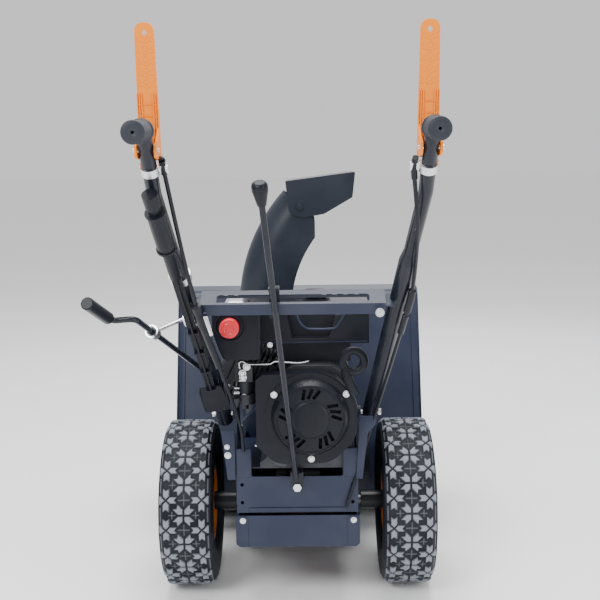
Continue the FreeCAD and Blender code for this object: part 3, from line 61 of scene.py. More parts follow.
# ---- properties ----
def length(name, description, default):
    return bpy.props.FloatProperty(name=name, description=description, default=default, unit="LENGTH",
                                   min=0.0)


def colour(name, description, default):
    return bpy.props.FloatVectorProperty(name=name, description=description, default=default,
                                         subtype="COLOR", size=3, min=0.0, max=1.0)


class SnowBlowerSizes(bpy.types.PropertyGroup):
    """Sizes of the detailed pieces, in metres."""
    tyre_radius: length("Tyre radius", "Outer radius of the tyre over its blocks", 0.165)
    tread_depth: length("Tread depth", "Height of the tread blocks over the grooves", 0.0036)
    edge_softness: length("Edge softness", "Width of the rounding on the hard parts", 0.0011)
    cable_radius: length("Cable radius", "Radius of a control cable's sheath", 0.0032)
    rib_height: length("Rib height", "Height of the ribs moulded on the levers", 0.0022)


class SnowBlowerColours(bpy.types.PropertyGroup):
    """Colours of the finishes."""
    navy: colour("Navy enamel", "Bucket, frame and dash", (0.0145, 0.0205, 0.045))
    handle: colour("Handle enamel", "Handle tubes", (0.009, 0.011, 0.018))
    orange: colour("Orange moulding", "Clutch levers", (0.87, 0.235, 0.008))
    rim: colour("Orange enamel", "Wheel rims", (0.5, 0.14, 0.003))
    red: colour("Red moulding", "Push button", (0.72, 0.02, 0.035))
    black: colour("Black moulding", "Engine covers", (0.0055, 0.0068, 0.0115))
    chute: colour("Chute moulding", "Chute and deflector", (0.011, 0.015, 0.025))
    grip: colour("Grip rubber", "Hand grips and knob", (0.018, 0.021, 0.03))
    rubber: colour("Tyre rubber", "Grooves and sidewalls of the tyres", (0.004, 0.0055, 0.01))
    # painted highlight: the tops of the tread blocks get this lighter colour to stand for the light from
    # above and the rubber's sheen; the blocks are the same rubber as the grooves
    block: colour("Tread block", "Tops of the tread blocks", (0.2, 0.215, 0.25))
    zinc: colour("Zinc", "Bolts and pins", (0.72, 0.73, 0.76))
    steel: colour("Bare steel", "Shafts", (0.17, 0.175, 0.185))
    cast: colour("Cast aluminium", "Engine castings", (0.04, 0.043, 0.05))


def sizes():
    return bpy.context.scene.snow_blower_sizes


def colours():
    return bpy.context.scene.snow_blower_colours


# ---- surfaces, in millimetres ----
def unit(vector):
    """A vector, or each row of an array of them, at length one."""
    vector = np.asarray(vector, float)
    return vector / np.linalg.norm(vector, axis=-1, keepdims=True)


def grid_faces(rows, columns, wrap_rows):
    """Corner numbers of the quads of a grid whose every row is a ring. The last row joins the first when the
    rows wrap as well."""
    i, j = np.meshgrid(np.arange(rows if wrap_rows else rows - 1), np.arange(columns), indexing="ij")
    i, j = i.ravel(), j.ravel()
    i1, j1 = (i + 1) % rows, (j + 1) % columns
    return np.stack([i * columns + j, i * columns + j1, i1 * columns + j1, i1 * columns + j], axis=1)


def lathe(profile, centre, axis, sides, closed=False):
    """Turns a profile of (radius, height) pairs about an axis: the centre, plus the height along the axis,
    plus the radius times the cosine and sine of the turn along two directions square to it."""
    profile = np.asarray(profile, float)
    axis = unit(axis)
    steep = abs(axis[2]) >= 0.9
    side = unit(np.cross(axis, (1, 0, 0) if steep else (0, 0, 1)))
    across = np.cross(axis, side)
    turn = np.linspace(0, 2 * np.pi, sides, endpoint=False)
    ring = np.outer(np.cos(turn), side) + np.outer(np.sin(turn), across)
    points = profile[:, None, 0:1] * ring[None] + profile[:, None, 1:2] * axis + np.asarray(centre, float)
    return points.reshape(-1, 3), grid_faces(len(profile), sides, closed)


def smooth_path(points, steps):
    """A Catmull-Rom curve: each piece between two points is the cubic that leaves and arrives along the line
    joining its neighbours."""
    p = np.asarray(points, float)
    p = np.vstack([2 * p[0] - p[1], p, 2 * p[-1] - p[-2]])
    t = np.linspace(0, 1, steps, endpoint=False)[None, :, None]
    a, b, c, d = (p[k:len(p) - 3 + k, None, :] for k in range(4))
    curve = 0.5 * (2 * b + (c - a) * t + (2 * a - 5 * b + 4 * c - d) * t ** 2
                   + (3 * b - a - 3 * c + d) * t ** 3)
    return np.vstack([curve.reshape(-1, 3), p[-2]])


def tube(path, radius, sides):
    """A round bar along a path: each row is a circle square to the path, closed by a point at both ends. Its
    side direction comes from the axis that the path follows least."""
    path = np.asarray(path, float)
    radius = np.broadcast_to(np.asarray(radius, float), len(path))
    heading = unit(np.gradient(path, axis=0))
    flattest = np.eye(3)[np.argmin(np.abs(heading).max(axis=0))]
    side = unit(np.cross(heading, flattest))
    across = np.cross(heading, side)
    turn = np.linspace(0, 2 * np.pi, sides, endpoint=False)
    ring = np.cos(turn)[None, :, None] * side[:, None] + np.sin(turn)[None, :, None] * across[:, None]
    rows = path[:, None] + radius[:, None, None] * ring
    ends = [np.repeat(path[k][None, None], sides, axis=1) for k in (0, -1)]
    rows = np.concatenate([ends[0], rows, ends[1]])
    return rows.reshape(-1, 3), grid_faces(len(rows), sides, False)


def rounded(corners, radius, steps):
    """A closed outline whose corners are quadratic curves: each runs from a point before the corner to one
    past it, and takes no more than half of the shorter side beside it."""
    p = np.asarray(corners, float)
    back, ahead = np.roll(p, 1, 0) - p, np.roll(p, -1, 0) - p
    room = np.minimum(np.linalg.norm(back, axis=1), np.linalg.norm(ahead, axis=1)) * 0.49
    reach = np.minimum(np.broadcast_to(np.asarray(radius, float), len(p)), room)[:, None]
    a, b = p + unit(back) * reach, p + unit(ahead) * reach
    t = np.linspace(0, 1, steps)[None, :, None]
    curve = (1 - t) ** 2 * a[:, None] + 2 * t * (1 - t) * p[:, None] + t ** 2 * b[:, None]
    return curve.reshape(-1, 2)


def slab(outline, low, high, edge):
    """A plate between two heights over an outline; its rim rounds in by a quarter circle at both faces."""
    outline = np.asarray(outline, float)
    ahead = unit(np.roll(outline, -1, 0) - np.roll(outline, 1, 0))
    area = np.sum(outline[:, 0] * np.roll(outline[:, 1], -1) - np.roll(outline[:, 0], -1) * outline[:, 1])
    inward = np.stack([-ahead[:, 1], ahead[:, 0]], axis=1) * (1 if area > 0 else -1)
    turn = np.linspace(0, np.pi / 2, 4)
    inset, rise = edge * (1 - np.sin(turn)), edge * (1 - np.cos(turn))
    inset = np.concatenate([inset, inset[::-1]])
    height = np.concatenate([low + rise, high - rise[::-1]])
    flat = outline[None] + inset[:, None, None] * inward[None]
    rows = np.concatenate([flat, np.broadcast_to(height[:, None, None], flat.shape[:2] + (1,))], axis=2)
    count = len(outline)
    faces = grid_faces(len(height), count, False).tolist()
    faces += [list(range(count)), list(range((len(height) - 1) * count, len(height) * count))]
    return rows.reshape(-1, 3), faces


def block(x0, x1, y0, y1, z0, z1, edge):
    """A box with rounded edges."""
    return slab(rounded([(x0, y0), (x1, y0), (x1, y1), (x0, y1)], edge * 1.4, 4), z0, z1, edge)


def placed(shape, origin, x_axis, y_axis):
    """Moves a shape drawn at the origin to a place, with its X and Y along two given directions."""
    points, faces = shape
    x_axis, y_axis = unit(x_axis), unit(y_axis)
    basis = np.stack([x_axis, y_axis, np.cross(x_axis, y_axis)])
    return points @ basis + np.asarray(origin, float), faces


def flipped(shape):
    """The shape mirrored from one side of the machine to the other."""
    points, faces = shape
    return points * (-1, 1, 1), faces


def hex_bolt(centre, axis, radius, height, washer):
    """A hexagon head with a domed face standing on a round washer."""
    axis = unit(axis)
    flat, rim, edge = radius * 1.35, radius * 1.4, 0.3
    disc = lathe([(0, 0), (flat, 0), (rim, edge), (rim, washer - edge), (flat, washer), (0, washer)],
                 centre, axis, 24)
    head = lathe([(0, washer - 0.2), (radius, washer - 0.2), (radius, height * 0.82 + washer),
                  (radius * 0.86, height + washer), (0, height + washer)], centre, axis, 6)
    return [disc, head]


# ---- pieces ----
# points closer than this, in metres, are one point
MERGE_DISTANCE = 2e-6
# degrees: edges over these stay sharp or are rounded, and faces under the last are one flat face
SHARP_ANGLE, REFINED_SHARP_ANGLE, BEVEL_ANGLE, FLAT_ANGLE = 38, 34, 38, 0.6


def build(name, shapes, slot, body, replaced=(), angle=SHARP_ANGLE):
    """Makes one object of several shapes: their points in millimetres become a mesh in metres."""
    points = np.vstack([s[0] for s in shapes]) * M_PER_MM
    starts = np.cumsum([0] + [len(s[0]) for s in shapes[:-1]])
    faces = [(np.asarray(face) + start).tolist() for (_, rows), start in zip(shapes, starts) for face in rows]
    mesh = bpy.data.meshes.new(name)
    mesh.from_pydata(points, [], faces)
    finished(name, mesh, slot, body, replaced, angle, 0.0)


def finished(name, mesh, slot, body, replaced, angle, bevel):
    """Merges a mesh's poles and seams, turns its faces outward, keeps edges over the angle sharp, and gives
    it its material, its rounding and its body, and hides the CAD nodes it stands for."""
    work = bmesh.new()
    work.from_mesh(mesh)
    bmesh.ops.remove_doubles(work, verts=work.verts, dist=MERGE_DISTANCE)
    bmesh.ops.recalc_face_normals(work, faces=work.faces)
    work.to_mesh(mesh)
    work.free()
    mesh.shade_smooth()
    mesh.set_sharp_from_angle(angle=math.radians(angle))
    made = bpy.data.objects.new(name, mesh)
    bpy.context.scene.collection.objects.link(made)
    mesh.materials.clear()
    mesh.materials.append(finish(slot))
    if bevel:
        soften = made.modifiers.new("Bevel", "BEVEL")
        soften.width = bevel
        soften.segments = 2
        soften.limit_method = "ANGLE"
        soften.angle_limit = math.radians(BEVEL_ANGLE)
        soften.harden_normals = True
    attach(made, body)
    if replaced:
        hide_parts(*replaced)


def refined(node, bevel=None):
    """A copy of a CAD node with its loose triangles merged, flat faces joined and hard edges rounded."""
    source = frame["nodes"][node]
    mesh = source.data.copy()
    work = bmesh.new()
    work.from_mesh(mesh)
    bmesh.ops.remove_doubles(work, verts=work.verts, dist=MERGE_DISTANCE)
    bmesh.ops.dissolve_limit(work, angle_limit=math.radians(FLAT_ANGLE), verts=work.verts, edges=work.edges)
    work.to_mesh(mesh)
    work.free()
    width = sizes().edge_softness if bevel is None else bevel
    slot = slot_of(source.material_slots[0].material.name)
    finished(node + "_soft", mesh, slot, BODY_OF[node], (node,), REFINED_SHARP_ANGLE, width)


# ---- finishes ----
DUST_COLOUR, DUST_SCALE, DUST_DETAIL = (0.3, 0.31, 0.33, 1), 14.0, 5.0
# noise values at which dust begins and is full, and the roughness that full dust adds
DUST_BEGINS, DUST_FULL, DUST_ROUGHNESS = 0.42, 0.75, 0.8
COAT_ROUGHNESS = 0.12
GRAIN_DETAIL, GRAIN_HEIGHT = 2.0, 0.0006


def slot_of(material_name):
    """The record's slot that a packed material stands for."""
    names = [row["slot"] for row in frame["record"]["materials"]]
    base = material_name.split(".")[0]
    return next((n for n in sorted(names, key=len, reverse=True) if n in base), "body_paint")


def node_group(name, inputs, outputs):
    """An empty shader group with its sockets, and its input and output nodes."""
    group = bpy.data.node_groups.new(name, "ShaderNodeTree")
    for label, kind, default in inputs:
        group.interface.new_socket(name=label, in_out="INPUT", socket_type=kind).default_value = default
    for label, kind in outputs:
        group.interface.new_socket(name=label, in_out="OUTPUT", socket_type=kind)
    return group, group.nodes.new("NodeGroupInput"), group.nodes.new("NodeGroupOutput")


def fine_grain():
    """Group: the height of a fine moulded or sprayed texture."""
    if "Fine Grain" in bpy.data.node_groups:
        return bpy.data.node_groups["Fine Grain"]
    group, entry, leave = node_group("Fine Grain", [("Scale", "NodeSocketFloat", 900.0)],
                                     [("Height", "NodeSocketFloat")])
    place = group.nodes.new("ShaderNodeTexCoord")
    noise = group.nodes.new("ShaderNodeTexNoise")
    noise.inputs["Detail"].default_value = GRAIN_DETAIL
    group.links.new(place.outputs["Object"], noise.inputs["Vector"])
    group.links.new(entry.outputs["Scale"], noise.inputs["Scale"])
    group.links.new(noise.outputs["Fac"], leave.inputs["Height"])
    return group


def soil():
    """Group: a base colour mixed towards pale dust where slow noise is high, and the roughness dust adds."""
    if "Soil" in bpy.data.node_groups:
        return bpy.data.node_groups["Soil"]
    group, entry, leave = node_group(
        "Soil", [("Color", "NodeSocketColor", (0.1, 0.1, 0.1, 1)), ("Roughness", "NodeSocketFloat", 0.5),
                 ("Amount", "NodeSocketFloat", 0.1)],
        [("Color", "NodeSocketColor"), ("Roughness", "NodeSocketFloat")])
    place = group.nodes.new("ShaderNodeTexCoord")
    noise = group.nodes.new("ShaderNodeTexNoise")
    noise.inputs["Scale"].default_value = DUST_SCALE
    noise.inputs["Detail"].default_value = DUST_DETAIL
    spread = group.nodes.new("ShaderNodeMapRange")
    spread.inputs["From Min"].default_value = DUST_BEGINS
    spread.inputs["From Max"].default_value = DUST_FULL
    share = group.nodes.new("ShaderNodeMath")
    share.operation = "MULTIPLY"
    mix = group.nodes.new("ShaderNodeMix")
    mix.data_type = "RGBA"
    mix.inputs["B"].default_value = DUST_COLOUR
    rougher = group.nodes.new("ShaderNodeMath")
    rougher.operation = "MULTIPLY_ADD"
    rougher.inputs[1].default_value = DUST_ROUGHNESS
    link = group.links.new
    link(place.outputs["Object"], noise.inputs["Vector"])
    link(noise.outputs["Fac"], spread.inputs["Value"])
    link(spread.outputs["Result"], share.inputs[0])
    link(entry.outputs["Amount"], share.inputs[1])
    link(share.outputs["Value"], mix.inputs["Factor"])
    link(entry.outputs["Color"], mix.inputs["A"])
    link(share.outputs["Value"], rougher.inputs[0])
    link(entry.outputs["Roughness"], rougher.inputs[2])
    link(mix.outputs["Result"], leave.inputs["Color"])
    link(rougher.outputs["Value"], leave.inputs["Roughness"])
    return group


# name: colour property, roughness, metallic, specular level, coat, grain scale, grain depth, soil
FINISHES = {
    "body_paint": ("navy", 0.33, 0.0, 0.26, 0.04, 700, 0.05, 0.03),
    "orange_paint": ("rim", 0.3, 0.0, 0.45, 0.3, 600, 0.04, 0.03),
    "handle_paint": ("handle", 0.22, 0.0, 0.24, 0.0, 700, 0.05, 0.03),
    "orange_plastic": ("orange", 0.42, 0.0, 0.25, 0.0, 1100, 0.06, 0.0),
    "red_plastic": ("red", 0.25, 0.0, 0.4, 0.2, 900, 0.03, 0.0),
    "black_plastic": ("black", 0.36, 0.0, 0.2, 0.0, 1200, 0.1, 0.02),
    "chute_plastic": ("chute", 0.38, 0.0, 0.25, 0.0, 900, 0.1, 0.03),
    "grip_rubber": ("grip", 0.5, 0.0, 0.3, 0.0, 1300, 0.12, 0.04),
    "cable_rubber": ("black", 0.4, 0.0, 0.25, 0.0, 1000, 0.08, 0.01),
    "tyre": ("rubber", 0.55, 0.0, 0.2, 0.0, 900, 0.15, 0.06),
    "zinc_steel": ("zinc", 0.3, 1.0, 0.5, 0.0, 800, 0.06, 0.08),
    "bare_steel": ("steel", 0.45, 1.0, 0.5, 0.0, 800, 0.08, 0.12),
    "cast_aluminium": ("cast", 0.5, 0.6, 0.3, 0.0, 500, 0.3, 0.15),
    "belt_rubber": ("black", 0.7, 0.0, 0.15, 0.0, 900, 0.12, 0.05),
}


def finish(slot):
    """The material of a slot: its colour and roughness through the soil group, its grain as a small bump."""
    name = "finish_" + slot
    if name in bpy.data.materials:
        return bpy.data.materials[name]
    tint, roughness, metallic, specular, coat, scale, depth, dirt = FINISHES[slot]
    material = bpy.data.materials.new(name)
    material.use_nodes = True
    tree = material.node_tree
    shader = tree.nodes["Principled BSDF"]
    shader.inputs["Metallic"].default_value = metallic
    shader.inputs["Specular IOR Level"].default_value = specular
    shader.inputs["Coat Weight"].default_value = coat
    shader.inputs["Coat Roughness"].default_value = COAT_ROUGHNESS
    dirty = tree.nodes.new("ShaderNodeGroup")
    dirty.node_tree = soil()
    dirty.inputs["Color"].default_value = (*getattr(colours(), tint), 1)
    dirty.inputs["Roughness"].default_value = roughness
    dirty.inputs["Amount"].default_value = dirt
    grain = tree.nodes.new("ShaderNodeGroup")
    grain.node_tree = fine_grain()
    grain.inputs["Scale"].default_value = scale
    bump = tree.nodes.new("ShaderNodeBump")
    bump.inputs["Strength"].default_value = depth
    bump.inputs["Distance"].default_value = GRAIN_HEIGHT
    link = tree.links.new
    link(grain.outputs["Height"], bump.inputs["Height"])
    link(bump.outputs["Normal"], shader.inputs["Normal"])
    link(dirty.outputs["Roughness"], shader.inputs["Roughness"])
    # tyres: the tops of the tread blocks are mixed towards the lighter block colour by their height, a
    # painted highlight for the light from above and the rubber's sheen
    if slot == "tyre":
        raised = tree.nodes.new("ShaderNodeAttribute")
        raised.attribute_name = "raised"
        painted_highlight_tops = tree.nodes.new("ShaderNodeMix")
        painted_highlight_tops.data_type = "RGBA"
        painted_highlight_tops.inputs["B"].default_value = (*colours().block, 1)
        link(raised.outputs["Fac"], painted_highlight_tops.inputs["Factor"])
        link(dirty.outputs["Color"], painted_highlight_tops.inputs["A"])
        link(painted_highlight_tops.outputs["Result"], shader.inputs["Base Color"])
    else:
        link(dirty.outputs["Color"], shader.inputs["Base Color"])
    return material


# ---- tyres ----
# places across the tread, in millimetres from its middle
SIDE_FLAKE, SMALL_CROSS, SHOULDER_BAR = 34.0, 22.5, 50.5
# how far a petal's tip is cut in, as a share of its half width, and the width of a block's sloping side
NOTCH, BLOCK_SIDE = 0.8, 1.1
LOW_BLOCK = 0.45

# the drawn section's radius, how far from the middle blocks reach along the section, and the grid
SECTION_RADIUS = 165.0
TREAD_EDGE, TREAD_FADE, FINE_STEP = 58.5, 4.0, 1.32
STEPS_ROUND, FLAKES_ROUND = 738, 18

WHEEL_X = 0.216
SLEEVE_INNER, SLEEVE_OUTER = 127.4, 172.0


def tread(along, across, pitch):
    """Height, nought to one, of the tread's blocks. Middle flakes have four petals on the diagonals, side
    flakes have upright ones half a pitch on; each petal is a strip with a pointed foot and a notched tip.
    Thin crosses stand between the flakes and low bars along the shoulders. A block is where the least of
    its distances inward from its sides is above nought."""
    along, across = np.broadcast_arrays(along, across)
    s0 = np.mod(along + pitch / 2, pitch) - pitch / 2
    s1 = np.mod(along, pitch) - pitch / 2
    x, y = np.abs(across), np.abs(s0)
    out, off = (x + y) / math.sqrt(2), np.abs(x - y) / math.sqrt(2)
    middle = np.minimum.reduce([x - 1.7, y - 1.7, 6.3 - off, 18.0 + NOTCH * off - out])
    w, t = x - SIDE_FLAKE, np.abs(s1)
    upright = np.minimum.reduce([(t - 1.8 - np.abs(w)) * 0.7, 6.0 - np.abs(w),
                                 17.5 + NOTCH * np.abs(w) - t])
    inner = np.minimum.reduce([(-w - 1.8 - t) * 0.7, 6.0 - t, 15.8 + NOTCH * t + w])
    outer = np.minimum.reduce([w * 0.62 - 0.8 - t, 16.5 - w])
    thin = np.minimum(1.0 - np.minimum(t, x), 11.0 - np.maximum(t, x))
    beside = np.abs(x - SMALL_CROSS)
    small = np.minimum(1.1 - np.minimum(beside, y), 7.0 - np.maximum(beside, y))
    bars = np.minimum(2.6 - np.abs(x - SHOULDER_BAR), 15.0 - y)
    tall = np.maximum.reduce([middle, upright, inner, outer])
    low = np.maximum.reduce([thin, small, bars])
    return np.maximum(block_rise(tall), LOW_BLOCK * block_rise(low))


def block_rise(inward):
    """Height of a block, nought to one, at a distance inward from its side: a straight slope."""
    return np.clip(inward / BLOCK_SIDE + 0.35, 0, 1)


def tyre_mesh(name):
    """A tyre as rings round its axle: the closed section runs from one bead out over the crown to the other
    and back inside, and the crown is lowered by the tread depth wherever there is no block."""
    radius = sizes().tyre_radius * MM_PER_M
    depth = sizes().tread_depth * MM_PER_M
    half = np.array([(-39, 75), (-39.5, 86), (-47, 95), (-51.6, 110), (-52, 125), (-51.2, 142),
                     (-49.8, 152), (-46.5, 160), (-42, 164.2), (-36, 165), (0, 165.4)], float)
    half[:, 1] = np.where(half[:, 1] > 120, half[:, 1] + (radius - SECTION_RADIUS), half[:, 1])
    path = np.vstack([half, (half * (-1, 1))[-2::-1]])
    curve = smooth_path(np.column_stack([path, np.zeros(len(path))]), 14)[:, :2]
    run = np.concatenate([[0], np.cumsum(np.linalg.norm(np.diff(curve, axis=0), axis=1))])
    middle = run[-1] / 2
    coarse = np.linspace(-middle, -TREAD_EDGE, 11)
    station = np.concatenate([coarse, np.arange(-57.0, 57.01, FINE_STEP), -coarse[::-1]])
    x = np.interp(station + middle, run, curve[:, 0])
    r = np.interp(station + middle, run, curve[:, 1])
    slope = np.gradient(np.column_stack([x, r]), axis=0)
    outward = unit(np.column_stack([-slope[:, 1], slope[:, 0]]))

    turn = np.linspace(0, 2 * np.pi, STEPS_ROUND, endpoint=False)
    pitch = 2 * np.pi * radius / FLAKES_ROUND
    fade = np.clip((TREAD_EDGE - np.abs(station)) / TREAD_FADE, 0, 1)[None, :]
    height = tread(turn[:, None] * radius, station[None, :], pitch) * fade
    drop = depth * (1 - height) * fade

    inside = np.array([(25, 75), (40, 100), (41, 140), (0, 148), (-41, 140), (-40, 100), (-25, 75)], float)
    lining = (STEPS_ROUND, len(inside))
    rows_x = np.hstack([x[None] - outward[None, :, 0] * drop, np.broadcast_to(inside[:, 0], lining)])
    rows_r = np.hstack([r[None] - outward[None, :, 1] * drop, np.broadcast_to(inside[:, 1], lining)])
    # the block height, kept as the raised attribute, is also the mask of the painted highlight on the block
    # tops
    raised = np.hstack([height, np.zeros(lining)]).ravel().astype(np.float32)
    points = np.stack([rows_x, rows_r * np.sin(turn)[:, None], rows_r * np.cos(turn)[:, None]], axis=2)
    faces = grid_faces(STEPS_ROUND, rows_x.shape[1], True)
    mesh = bpy.data.meshes.new(name)
    mesh.from_pydata(points.reshape(-1, 3) * M_PER_MM, [], faces.tolist())
    mesh.attributes.new("raised", "FLOAT", "POINT").data.foreach_set("value", raised)
    return mesh


class SNOWBLOWER_OT_tyres(bpy.types.Operator):
    """Both tyres, with their snowflake tread, and the sleeves on the axle beside them"""
    bl_idname = "snowblower.tyres"
    bl_label = "Tyres"

    def execute(self, context):
        radius = sizes().tyre_radius
        for side, sign in (("left", -1), ("right", 1)):
            mesh = tyre_mesh("tyre_%s_tread" % side)
            mesh.transform(Matrix.Translation((sign * WHEEL_X, 0.0, radius)))
            finished("tyre_%s_tread" % side, mesh, "tyre", "wheels", ("tyre_" + side,), 50, 0.0)
            inner, outer = sign * SLEEVE_INNER, sign * SLEEVE_OUTER
            sleeve = lathe([(10.4, inner), (18.6, inner), (18.8, outer), (10.4, outer)],
                           (0, 0, radius * MM_PER_M), (1, 0, 0), 48, True)
            build("axle_sleeve_" + side, [sleeve], "handle_paint", "wheels")
        return {"FINISHED"}


# ---- levers and grips ----
LEVER_PIN = np.array((198.0, -557.75, 876.4))
LEVER_LEAN = math.radians(7)
LEVER_FACE = 35.0


def on_lever(shape):
    """Moves a shape drawn in the right lever's own frame (Y forward, Z up the blade) on to its pin."""
    return placed(shape, LEVER_PIN, (1, 0, 0), (0, math.cos(LEVER_LEAN), math.sin(LEVER_LEAN)))


def on_face(corners):
    """Points on the lever's face from pairs of X and Z."""
    return np.array([(x, LEVER_FACE, z) for x, z in corners])


class SNOWBLOWER_OT_levers(bpy.types.Operator):
    """Moulded lines, slots and ribs on the two clutch levers"""
    bl_idname = "snowblower.levers"
    bl_label = "Clutch levers"

    def execute(self, context):
        high = sizes().rib_height * MM_PER_M
        back = LEVER_FACE + 0.5
        shapes = []
        for k in range(5):
            z = 146.0 - 15.2 * k
            wave = on_face([(-12.5, z), (-6, z + 0.6), (0, z - 2.2), (6, z + 0.6), (12.5, z)])
            gem = on_face([(0, z + 10.5), (5, z + 6.5), (0, z + 1.5), (-5, z + 6.5), (0, z + 10.5)])
            shapes += [tube(smooth_path(wave, 5), 0.55, 6), tube(gem, 0.45, 6)]
            for s in (-1, 1):
                wing = on_face([(s * 13, z + 10), (s * 8, z + 6), (s * 13, z + 2)])
                shapes.append(tube(wing, 0.4, 6))
        for x in (-14.2, -11.2, -8.2, 8.2, 11.2, 14.2):
            shapes.append(block(x - 0.9, x + 0.9, LEVER_FACE - high, back, -16, 76, 0.4))
        for z, tall in ((60, 0.9), (44, 0.9), (12, 1.2), (-2, 1.2)):
            shapes.append(block(-14.4, 14.4, LEVER_FACE - high * 0.8, back, z, z + tall, 0.3))
        for x in (-5.5, -1.8, 1.8, 5.5):
            shapes.append(block(x - 0.8, x + 0.8, LEVER_FACE - high * 1.4, back, -16, 12, 0.4))
        shapes = [on_lever(s) for s in shapes]
        build("lever_right_ribs", shapes, "orange_plastic", "lever_right")
        build("lever_left_ribs", [flipped(s) for s in shapes], "orange_plastic", "lever_left")
        for node in ("lever_left", "lever_right"):
            refined(node, 0.0018)
        return {"FINISHED"}


class SNOWBLOWER_OT_grips(bpy.types.Operator):
    """Hand grips with fine rings and a pierced end, the shift lever's knob and the crank's grip"""
    bl_idname = "snowblower.grips"
    bl_label = "Hand grips"

    def execute(self, context):
        end, heading = np.array((193.0, -692.0, 899.0)), unit((-5.0, -110.0, -4.0))
        rings = np.arange(8, 84, 1.0)
        ribbed = 15.0 + 0.45 * np.abs(np.sin(rings * np.pi / 4.0))
        profile = [(11.2, 92.0), (16.5, 92.2), (17.4, 91.0), (17.4, 86.5), (16.2, 85.0)]
        profile += list(zip(ribbed[::-1], rings[::-1]))
        profile += [(15.4, 7.0), (15.6, 2.0), (15.2, 0.2), (14.2, -0.6), (9.0, -0.9), (2.4, -0.9),
                    (2.0, -0.4), (2.0, 5.0), (11.2, 5.2)]
        grip = lathe(profile, end, -heading, 48, True)
        for side, shape in (("right", grip), ("left", flipped(grip))):
            build("grip_%s_moulded" % side, [shape], "grip_rubber", "frame", ("grip_" + side,), 60)
        refined("shift_knob", 0.0006)
        refined("crank_grip", 0.002)
        return {"FINISHED"}


# ---- cables ----
CABLE_ROWS = 420
SLEEVE_RIB, SLEEVE_RIB_GAP = 0.35, 2.2
# the right lever's tab: a point on the lever, then how far down the cable's line and how far inward
TAB_START, TAB_DROP, TAB_INWARD = np.array((198.0, -582.0, 903.0)), 71, 20
# how far the cable's boot reaches above and below the tab
BOOT_ABOVE, BOOT_BELOW = 16, 10


def cable_run(points, sleeves):
    """A sheath along smooth points, in rows evenly spaced along it. A sleeve (start, end, radius, ribbed)
    covers a share of its length, and its ribs are a sine of the distance along."""
    path = smooth_path(points, 24)
    run = np.concatenate([[0], np.cumsum(np.linalg.norm(np.diff(path, axis=0), axis=1))])
    share = np.linspace(0, 1, CABLE_ROWS)
    path = np.column_stack([np.interp(share * run[-1], run, path[:, k]) for k in range(3)])
    radius = np.full(len(share), sizes().cable_radius * MM_PER_M)
    for start, end, thick, ribbed in sleeves:
        ribs = SLEEVE_RIB * np.sin(share * run[-1] * np.pi / SLEEVE_RIB_GAP) if ribbed else 0
        radius = np.where((share >= start) & (share <= end), thick + ribs, radius)
    return tube(path, radius, 18)


class SNOWBLOWER_OT_cables(bpy.types.Operator):
    """The two control cables with their boots and sleeves"""
    bl_idname = "snowblower.cables"
    bl_label = "Control cables"

    def execute(self, context):
        along = unit(np.array((0.0, -82.0, 90.0)))
        tab = TAB_START - along * TAB_DROP - (TAB_INWARD, 0, 0)
        top, low = tab + along * BOOT_ABOVE, tab - along * BOOT_BELOW
        right = [top, low, (188, -484, 755), (192.5, -385, 660), (183, -335, 593), (148, -162, 392),
                 (92, -160, 207)]
        left = [top * (-1, 1, 1), low * (-1, 1, 1), (-155, -392, 634), (-123, -256, 476),
                (-104, -176, 372), (-100, -160, 318)]
        boot = (0.0, 0.05, 4.6, False)
        right_sleeves = (boot, (0.34, 0.4, 6.4, True), (0.41, 0.47, 5.6, False))
        left_sleeves = (boot, (0.42, 0.44, 8.2, False), (0.44, 0.5, 7.0, True), (0.5, 0.66, 6.2, False))
        for side, points, sleeves in (("right", right, right_sleeves), ("left", left, left_sleeves)):
            build("cable_" + side, [cable_run(points, sleeves)], "cable_rubber", "frame",
                  ("control_cable_" + side,))
        return {"FINISHED"}


# ---- engine ----
SCREW_SEAT_Y = -187.2


